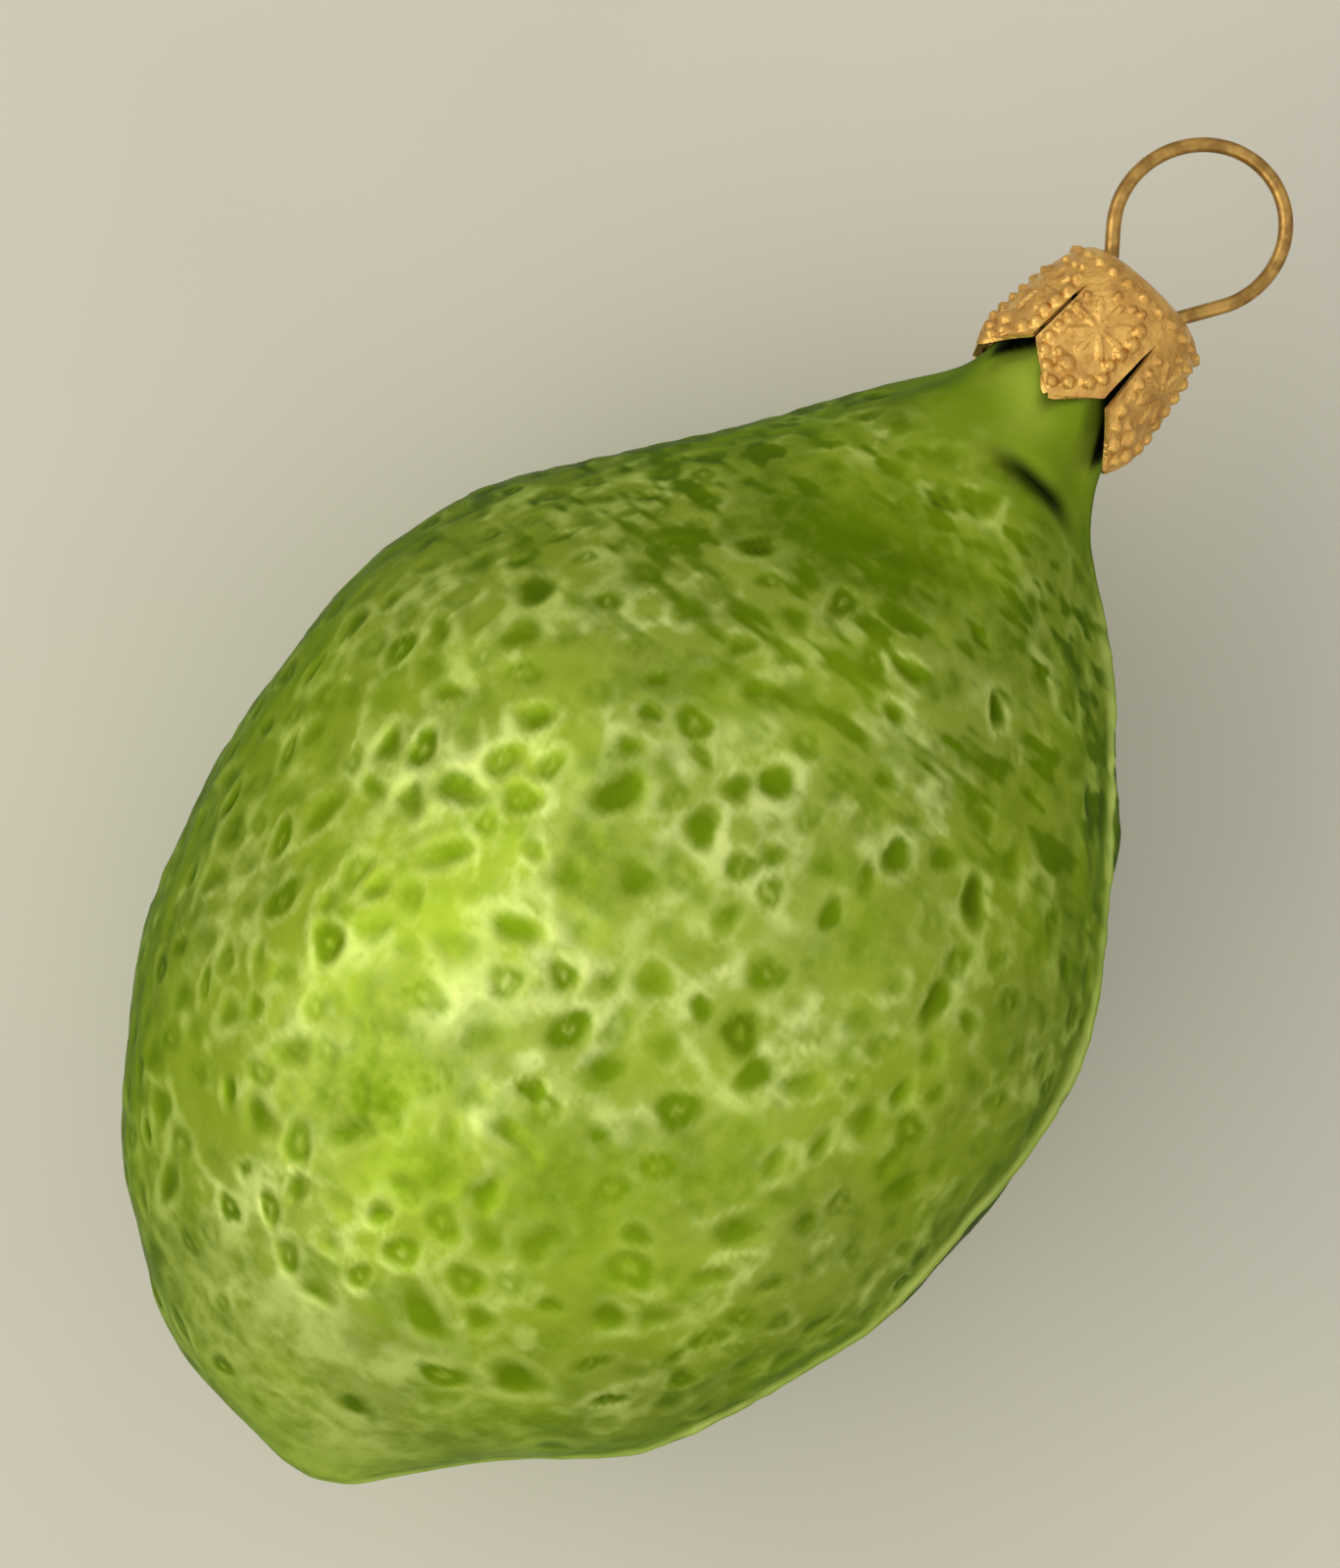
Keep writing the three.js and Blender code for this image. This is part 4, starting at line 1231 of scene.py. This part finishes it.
# %% [markdown]
# ## The wire
# One piece of spring wire makes the loop, dives through the two holes and spreads again inside the
# neck, where its spring holds the cap on. The wire is a round section swept along a smooth path. A
# curve object with a bevel would do, but a swept mesh can also round off the cut ends and carry the
# slight change in thickness of a wire that was bent.

# %% Path and sweep of the wire
WIRE_RADIUS = 0.4
LOOP_RADIUS = 4.5
LOOP_RISE = 4.39
LOOP_LEAN = 0.05
LOOP_OVAL = 0.028
LOOP_OVAL_TURN = math.radians(-23)
ARC_END = math.radians(128)
ARC_STEPS = 16
LEG = [
    # distance out from the top plate, and distance to each side of the neck's axis
    (-0.18, HOLE_SPREAD),
    (-1.0, 1.72),
    (-2.2, 1.62),
    (-4.5, 1.85),
    (-9, 2.2),
    (-14, 2.35),
]
SECTION_SIDES = 20
WIRE_ROWS = 420
loop_angles = ARC_END * (2 * np.arange(ARC_STEPS + 1) / ARC_STEPS - 1)
loop_radii = LOOP_RADIUS * (1 + LOOP_OVAL * np.cos(2 * (loop_angles - LOOP_OVAL_TURN)))
loop = np.stack([np.cos(loop_angles), np.sin(loop_angles)], -1) * loop_radii[:, None]
loop += (LOOP_RISE, LOOP_LEAN)
left_leg = [(out, -side) for out, side in reversed(LEG)]
wire_path = resampled(smooth_curve([*left_leg, *loop.tolist(), *LEG], 30), WIRE_ROWS)
wire_ahead = np.gradient(wire_path, axis=0)
wire_ahead /= np.linalg.norm(wire_ahead, axis=1)[:, None]
section_angle = np.arange(SECTION_SIDES) * TURN / SECTION_SIDES
end_gap = np.minimum(lengths_along(wire_path), lengths_along(wire_path)[::-1]) / WIRE_RADIUS
end_round = np.sqrt(np.clip(1 - (1 - np.clip(end_gap, 0, 1)) ** 2, 0.02, 1))
squeeze = 0.99 + 0.015 * np.sin(0.9 * lengths_along(wire_path))
thick = (WIRE_RADIUS * end_round * squeeze)[:, None]
sideways = thick * np.cos(section_angle)[None, :]
upwards = thick * np.sin(section_angle)[None, :]
wire_grid = np.stack(
    [
        wire_path[:, 0][:, None] - wire_ahead[:, 1][:, None] * sideways,
        wire_path[:, 1][:, None] + wire_ahead[:, 0][:, None] * sideways,
        upwards,
    ],
    -1,
)
wire_faces = skin_faces(WIRE_ROWS, SECTION_SIDES).tolist()
wire_faces.append(list(range(SECTION_SIDES))[::-1])
wire_faces.append([(WIRE_ROWS - 1) * SECTION_SIDES + k for k in range(SECTION_SIDES)])
wire = mesh_of("hanger_wire_gold", moved(wire_grid.reshape(-1, 3), hanger_place), wire_faces)
print("wire", round(lengths_along(wire_path)[-1], 1), "mm long")

# %% [markdown]
# ## Materials from small helpers
# A material is a small tree of nodes. These helpers add a node and set its values in one line, so
# that each finish below reads like a recipe.

# %% Helpers for node trees
def add_node(tree, kind, inputs=None, **settings):
    """A new node of that kind, with its settings and the values of its inputs."""
    made = tree.nodes.new(kind)
    for name, value in settings.items():
        setattr(made, name, value)
    for name, value in (inputs or {}).items():
        if isinstance(value, bpy.types.NodeSocket):
            tree.links.new(value, made.inputs[name])
        else:
            made.inputs[name].default_value = value
    return made


def new_finish(name):
    """An empty material, its tree and its Principled shader."""
    material = bpy.data.materials.new(name)
    material.use_nodes = True
    return material, material.node_tree, material.node_tree.nodes["Principled BSDF"]


def speckle(tree, scale, detail=3.0, roughness=0.55):
    """Noise in the model's own metres."""
    place = add_node(tree, "ShaderNodeTexCoord").outputs["Object"]
    settings = {"Vector": place, "Scale": scale, "Detail": detail, "Roughness": roughness}
    return add_node(tree, "ShaderNodeTexNoise", settings).outputs["Fac"]


def blend_colours(tree, share, first, second):
    """Mixes two colours by a share between 0 and 1."""
    mix = add_node(tree, "ShaderNodeMix", data_type="RGBA")
    for number, value in ((0, share), (6, first), (7, second)):
        if isinstance(value, bpy.types.NodeSocket):
            tree.links.new(value, mix.inputs[number])
        else:
            mix.inputs[number].default_value = value
    return mix.outputs[2]


def layer_of(tree, name):
    """The number that was stored on the mesh under that name."""
    return add_node(tree, "ShaderNodeAttribute", attribute_name=name).outputs["Fac"]


def broken_up(tree, value, grain, strength):
    """The value with a centred noise added, so that its edges fray."""
    inputs = {0: grain, 1: strength, 2: value}
    return add_node(tree, "ShaderNodeMath", inputs, operation="MULTIPLY_ADD").outputs[0]


def ramp(tree, value, low, high, to_low=0.0, to_high=1.0):
    """Stretches a value from one range to another, with soft ends."""
    inputs = {"Value": value, "From Min": low, "From Max": high, "To Min": to_low, "To Max": to_high}
    return add_node(tree, "ShaderNodeMapRange", inputs, interpolation_type="SMOOTHSTEP").outputs[0]


# %% [markdown]
# ## The colour of the lacquer
# A satin, half clear lacquer lies over silver. Where it is thin, on the net between the pits, the
# silver makes it pale; where it has gathered, in the pits, it is a strong green. So the colour
# follows the stored layers, with slow drifts between two greens, one of them yellower, and a grain
# that frays every edge. The same layers carry painted highlights in the pale colours, a painted
# highlight on the seam, and painted shade in deep green and near black. One mixed green with a bump
# map would look like painted plastic.

# %% Lacquer over silver
# pale vein colours, also used for the painted highlights
PALE_VEIN_AND_HIGHLIGHT = (0.7, 0.74, 0.32, 1)
YELLOW_VEIN_AND_HIGHLIGHT = (0.64, 0.71, 0.22, 1)
PLAIN_SKIN = (0.36, 0.42, 0.075, 1)
YELLOW_SKIN = (0.36, 0.445, 0.045, 1)
# pit greens, also used for painted shade
DEEP_PIT_AND_SHADE = (0.15, 0.23, 0.006, 1)
FRESH_PIT_AND_SHADE = (0.22, 0.32, 0.01, 1)
# nearly white, for the painted highlight along the seam
SEAM_HIGHLIGHT = (0.95, 0.98, 0.5, 1)
SMOOTH_NECK = (0.25, 0.35, 0.02, 1)
BRIGHT_NECK = (0.38, 0.46, 0.06, 1)
# near black, for bare glass and painted shade
BARE_GLASS_AND_SHADE = (0.006, 0.012, 0.003, 1)
SILVER = (0.8, 0.82, 0.78, 1)

lacquer, tree, shader = new_finish("green_lacquer")
drift = ramp(tree, speckle(tree, 90, 2.0), 0.38, 0.62)
vein_and_highlight_colour = blend_colours(tree, drift, PALE_VEIN_AND_HIGHLIGHT, YELLOW_VEIN_AND_HIGHLIGHT)
plain = blend_colours(tree, drift, PLAIN_SKIN, YELLOW_SKIN)
pit_and_shade_green = blend_colours(tree, drift, DEEP_PIT_AND_SHADE, FRESH_PIT_AND_SHADE)
fine_noise = speckle(tree, 900, 3.0, 0.6)
fray = add_node(tree, "ShaderNodeMath", {0: fine_noise, 1: 0.5}, operation="SUBTRACT").outputs[0]
# pale lacquer and painted highlights
thin_lacquer_and_highlight = ramp(tree, broken_up(tree, layer_of(tree, "pale_and_highlight"), fray, 1.1), 0.05, 0.85)
# pooled lacquer and painted shade
thick_lacquer_and_shade = ramp(tree, broken_up(tree, layer_of(tree, "pooled_and_shade"), fray, 0.9), 0.06, 0.74)
green_clouds = ramp(tree, speckle(tree, 330, 3.0, 0.5), 0.5, 0.72, 0.0, 0.5)
skin_colour = blend_colours(tree, thin_lacquer_and_highlight, plain, vein_and_highlight_colour)
skin_colour = blend_colours(tree, green_clouds, skin_colour, pit_and_shade_green)
skin_colour = blend_colours(tree, thick_lacquer_and_shade, skin_colour, pit_and_shade_green)
# painted highlight along the seam's ridge
skin_colour = blend_colours(tree, layer_of(tree, "seam_highlight_layer"), skin_colour, SEAM_HIGHLIGHT)
neck_drift = ramp(tree, speckle(tree, 150, 1.0), 0.42, 0.6)
neck_colour = blend_colours(tree, neck_drift, SMOOTH_NECK, BRIGHT_NECK)
coat_colour = blend_colours(tree, layer_of(tree, "peel"), neck_colour, skin_colour)
# bare glass and painted shade
coat_colour = blend_colours(tree, layer_of(tree, "bare_glass_and_shade"), coat_colour, BARE_GLASS_AND_SHADE)
glass_colour = blend_colours(tree, layer_of(tree, "silver_side"), coat_colour, SILVER)
tree.links.new(glass_colour, shader.inputs["Base Color"])
print("lacquer's colour has", len(tree.nodes), "nodes")

# %% [markdown]
# ## The gleam of the lacquer
# The shader is a little more than half metal, for the silver below, and fairly rough, which gives
# the wide soft gleam. A thin rough coat, tinted green, lies over it, and a very fine grain keeps the
# gleam from looking wet. A mirror under clear glass would be brighter, but this lacquer is satin.

# %% Satin gleam
SILVER_SHARE = 0.6
LACQUER_TINT = (0.8, 0.865, 0.64, 1)
EDGE_TINT = (0.12, 0.18, 0.04, 1)
cloud = ramp(tree, speckle(tree, 420, 4.0, 0.6), 0.35, 0.65)
tree.links.new(ramp(tree, cloud, 0, 1, 0.36, 0.46), shader.inputs["Roughness"])
shader.inputs["Metallic"].default_value = SILVER_SHARE
shader.inputs["Specular IOR Level"].default_value = 0.1
shader.inputs["Specular Tint"].default_value = EDGE_TINT
shader.inputs["Coat Weight"].default_value = 1.0
shader.inputs["Coat Roughness"].default_value = 0.25
shader.inputs["Coat IOR"].default_value = 1.02
shader.inputs["Coat Tint"].default_value = LACQUER_TINT
fine_grain = speckle(tree, 1500, 2.0)
grain = add_node(tree, "ShaderNodeBump", {"Height": fine_grain, "Strength": 0.08, "Distance": 0.0002})
tree.links.new(grain.outputs[0], shader.inputs["Normal"])
glass.data.materials.append(lacquer)
print("lacquer has", len(tree.nodes), "nodes in all")

# %% [markdown]
# ## Gold
# Cap and wire are plated the colour of brass. The cap's sheet is satin and a little cloudy from the
# press, with fine press marks all over. The wire is browner and smoother, and its plating is worn in
# soft patches. A plain metal shader would be cleaner than any real cap is.

# %% Stamped gold and drawn wire
CAP_BRIGHT = (0.7, 0.41, 0.1, 1)
CAP_DULL = (0.48, 0.25, 0.055, 1)
WIRE_BRIGHT = (0.46, 0.27, 0.07, 1)
WIRE_DULL = (0.25, 0.135, 0.033, 1)

stamped, tree, shader = new_finish("stamped_gold")
cloudy = ramp(tree, speckle(tree, 700, 4.0, 0.6), 0.35, 0.65)
tree.links.new(blend_colours(tree, cloudy, CAP_DULL, CAP_BRIGHT), shader.inputs["Base Color"])
shader.inputs["Metallic"].default_value = 0.7
tree.links.new(ramp(tree, cloudy, 0, 1, 0.38, 0.26), shader.inputs["Roughness"])
press_marks = speckle(tree, 2600, 3.0)
pressed = add_node(tree, "ShaderNodeBump", {"Height": press_marks, "Strength": 0.45, "Distance": 0.0003})
tree.links.new(pressed.outputs[0], shader.inputs["Normal"])
cap.data.materials.append(stamped)

drawn, tree, shader = new_finish("drawn_wire")
worn = ramp(tree, speckle(tree, 900, 3.0, 0.6), 0.35, 0.65)
tree.links.new(blend_colours(tree, worn, WIRE_DULL, WIRE_BRIGHT), shader.inputs["Base Color"])
shader.inputs["Metallic"].default_value = 0.85
tree.links.new(ramp(tree, worn, 0, 1, 0.4, 0.28), shader.inputs["Roughness"])
wire.data.materials.append(drawn)
print("finishes:", [m.name for m in bpy.data.materials if m.users])

# %% [markdown]
# ## Table and light
# The lime lies on a plain pale surface. One large soft light, like a window, hangs to the left of
# the picture and gives the wide gleam; a weak one from the lower right keeps that side from going
# black, and the room around is a pale grey that is lighter overhead. Soft light is what makes satin
# glass read as satin, and a small bare lamp would make hard sparks on it.

# %% Table, lights and room
TABLE_COLOUR = (0.525, 0.505, 0.415, 1)
TABLE_SHADE = (0.48, 0.46, 0.39, 1)
TABLE_SIZE = 4
CEILING_COLOUR = (1.0, 0.99, 0.97, 1)
WALL_COLOUR = (0.56, 0.54, 0.42, 1)
ROOM_STRENGTH = 1.0

bpy.ops.mesh.primitive_plane_add(size=TABLE_SIZE, location=(0, 0, 0))
table = bpy.context.object
table.name = "table"
paper, tree, shader = new_finish("pale_surface")
# painted shade: a slow mottle darkens the table in broad patches towards TABLE_SHADE
table_shade_mottle = ramp(tree, speckle(tree, 12, 3.0), 0.3, 0.7)
tree.links.new(blend_colours(tree, table_shade_mottle, TABLE_COLOUR, TABLE_SHADE), shader.inputs["Base Color"])
shader.inputs["Roughness"].default_value = 0.8
table.data.materials.append(paper)


def soft_light(name, picture_place, size, power, colour):
    """A light panel aimed at the fruit; its place is right, up and out of the picture, in mm."""
    data = bpy.data.lights.new(name, "AREA")
    data.shape = "RECTANGLE"
    data.size = size[0] * MM
    data.size_y = size[1] * MM
    data.energy = power
    data.color = colour
    light = bpy.data.objects.new(name, data)
    turned = Matrix.Rotation(PICTURE_TURN, 3, "Z")
    light.location = turned @ Vector(picture_place) * MM
    back = light.location.normalized()
    side = (turned @ Vector((0, 1, 0))).cross(back).normalized()
    light.rotation_euler = Matrix((side, back.cross(side), back)).transposed().to_euler()
    bpy.context.scene.collection.objects.link(light)


soft_light("window", (-430, -60, 430), size=(480, 820), power=2.05, colour=(1.0, 0.98, 0.93))
soft_light("lamp", (200, -400, 260), size=(420, 300), power=0.16, colour=(1.0, 0.97, 0.9))

room = bpy.data.worlds.new("room")
room.use_nodes = True
tree = room.node_tree
backdrop = tree.nodes["Background"]
outward = add_node(tree, "ShaderNodeTexCoord").outputs["Generated"]
upness = add_node(tree, "ShaderNodeSeparateXYZ", {"Vector": outward}).outputs["Z"]
overhead = ramp(tree, upness, 0.0, 0.7)
tree.links.new(blend_colours(tree, overhead, WALL_COLOUR, CEILING_COLOUR), backdrop.inputs["Color"])
backdrop.inputs["Strength"].default_value = ROOM_STRENGTH
bpy.context.scene.world = room
bpy.context.scene.view_settings.view_transform = "Standard"

# %% [markdown]
# ## Tie the pieces to the solid model
# Each fine piece stands for one solid part and moves with it, and that solid part is hidden.

# %% Ride and replace
for piece, node, slot in (
    (glass, "glass_body", "green_glass"),
    (cap, "crown_cap", "gold_cap"),
    (wire, "hanger_wire", "gold_wire"),
):
    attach(piece, "root")
    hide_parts(node)
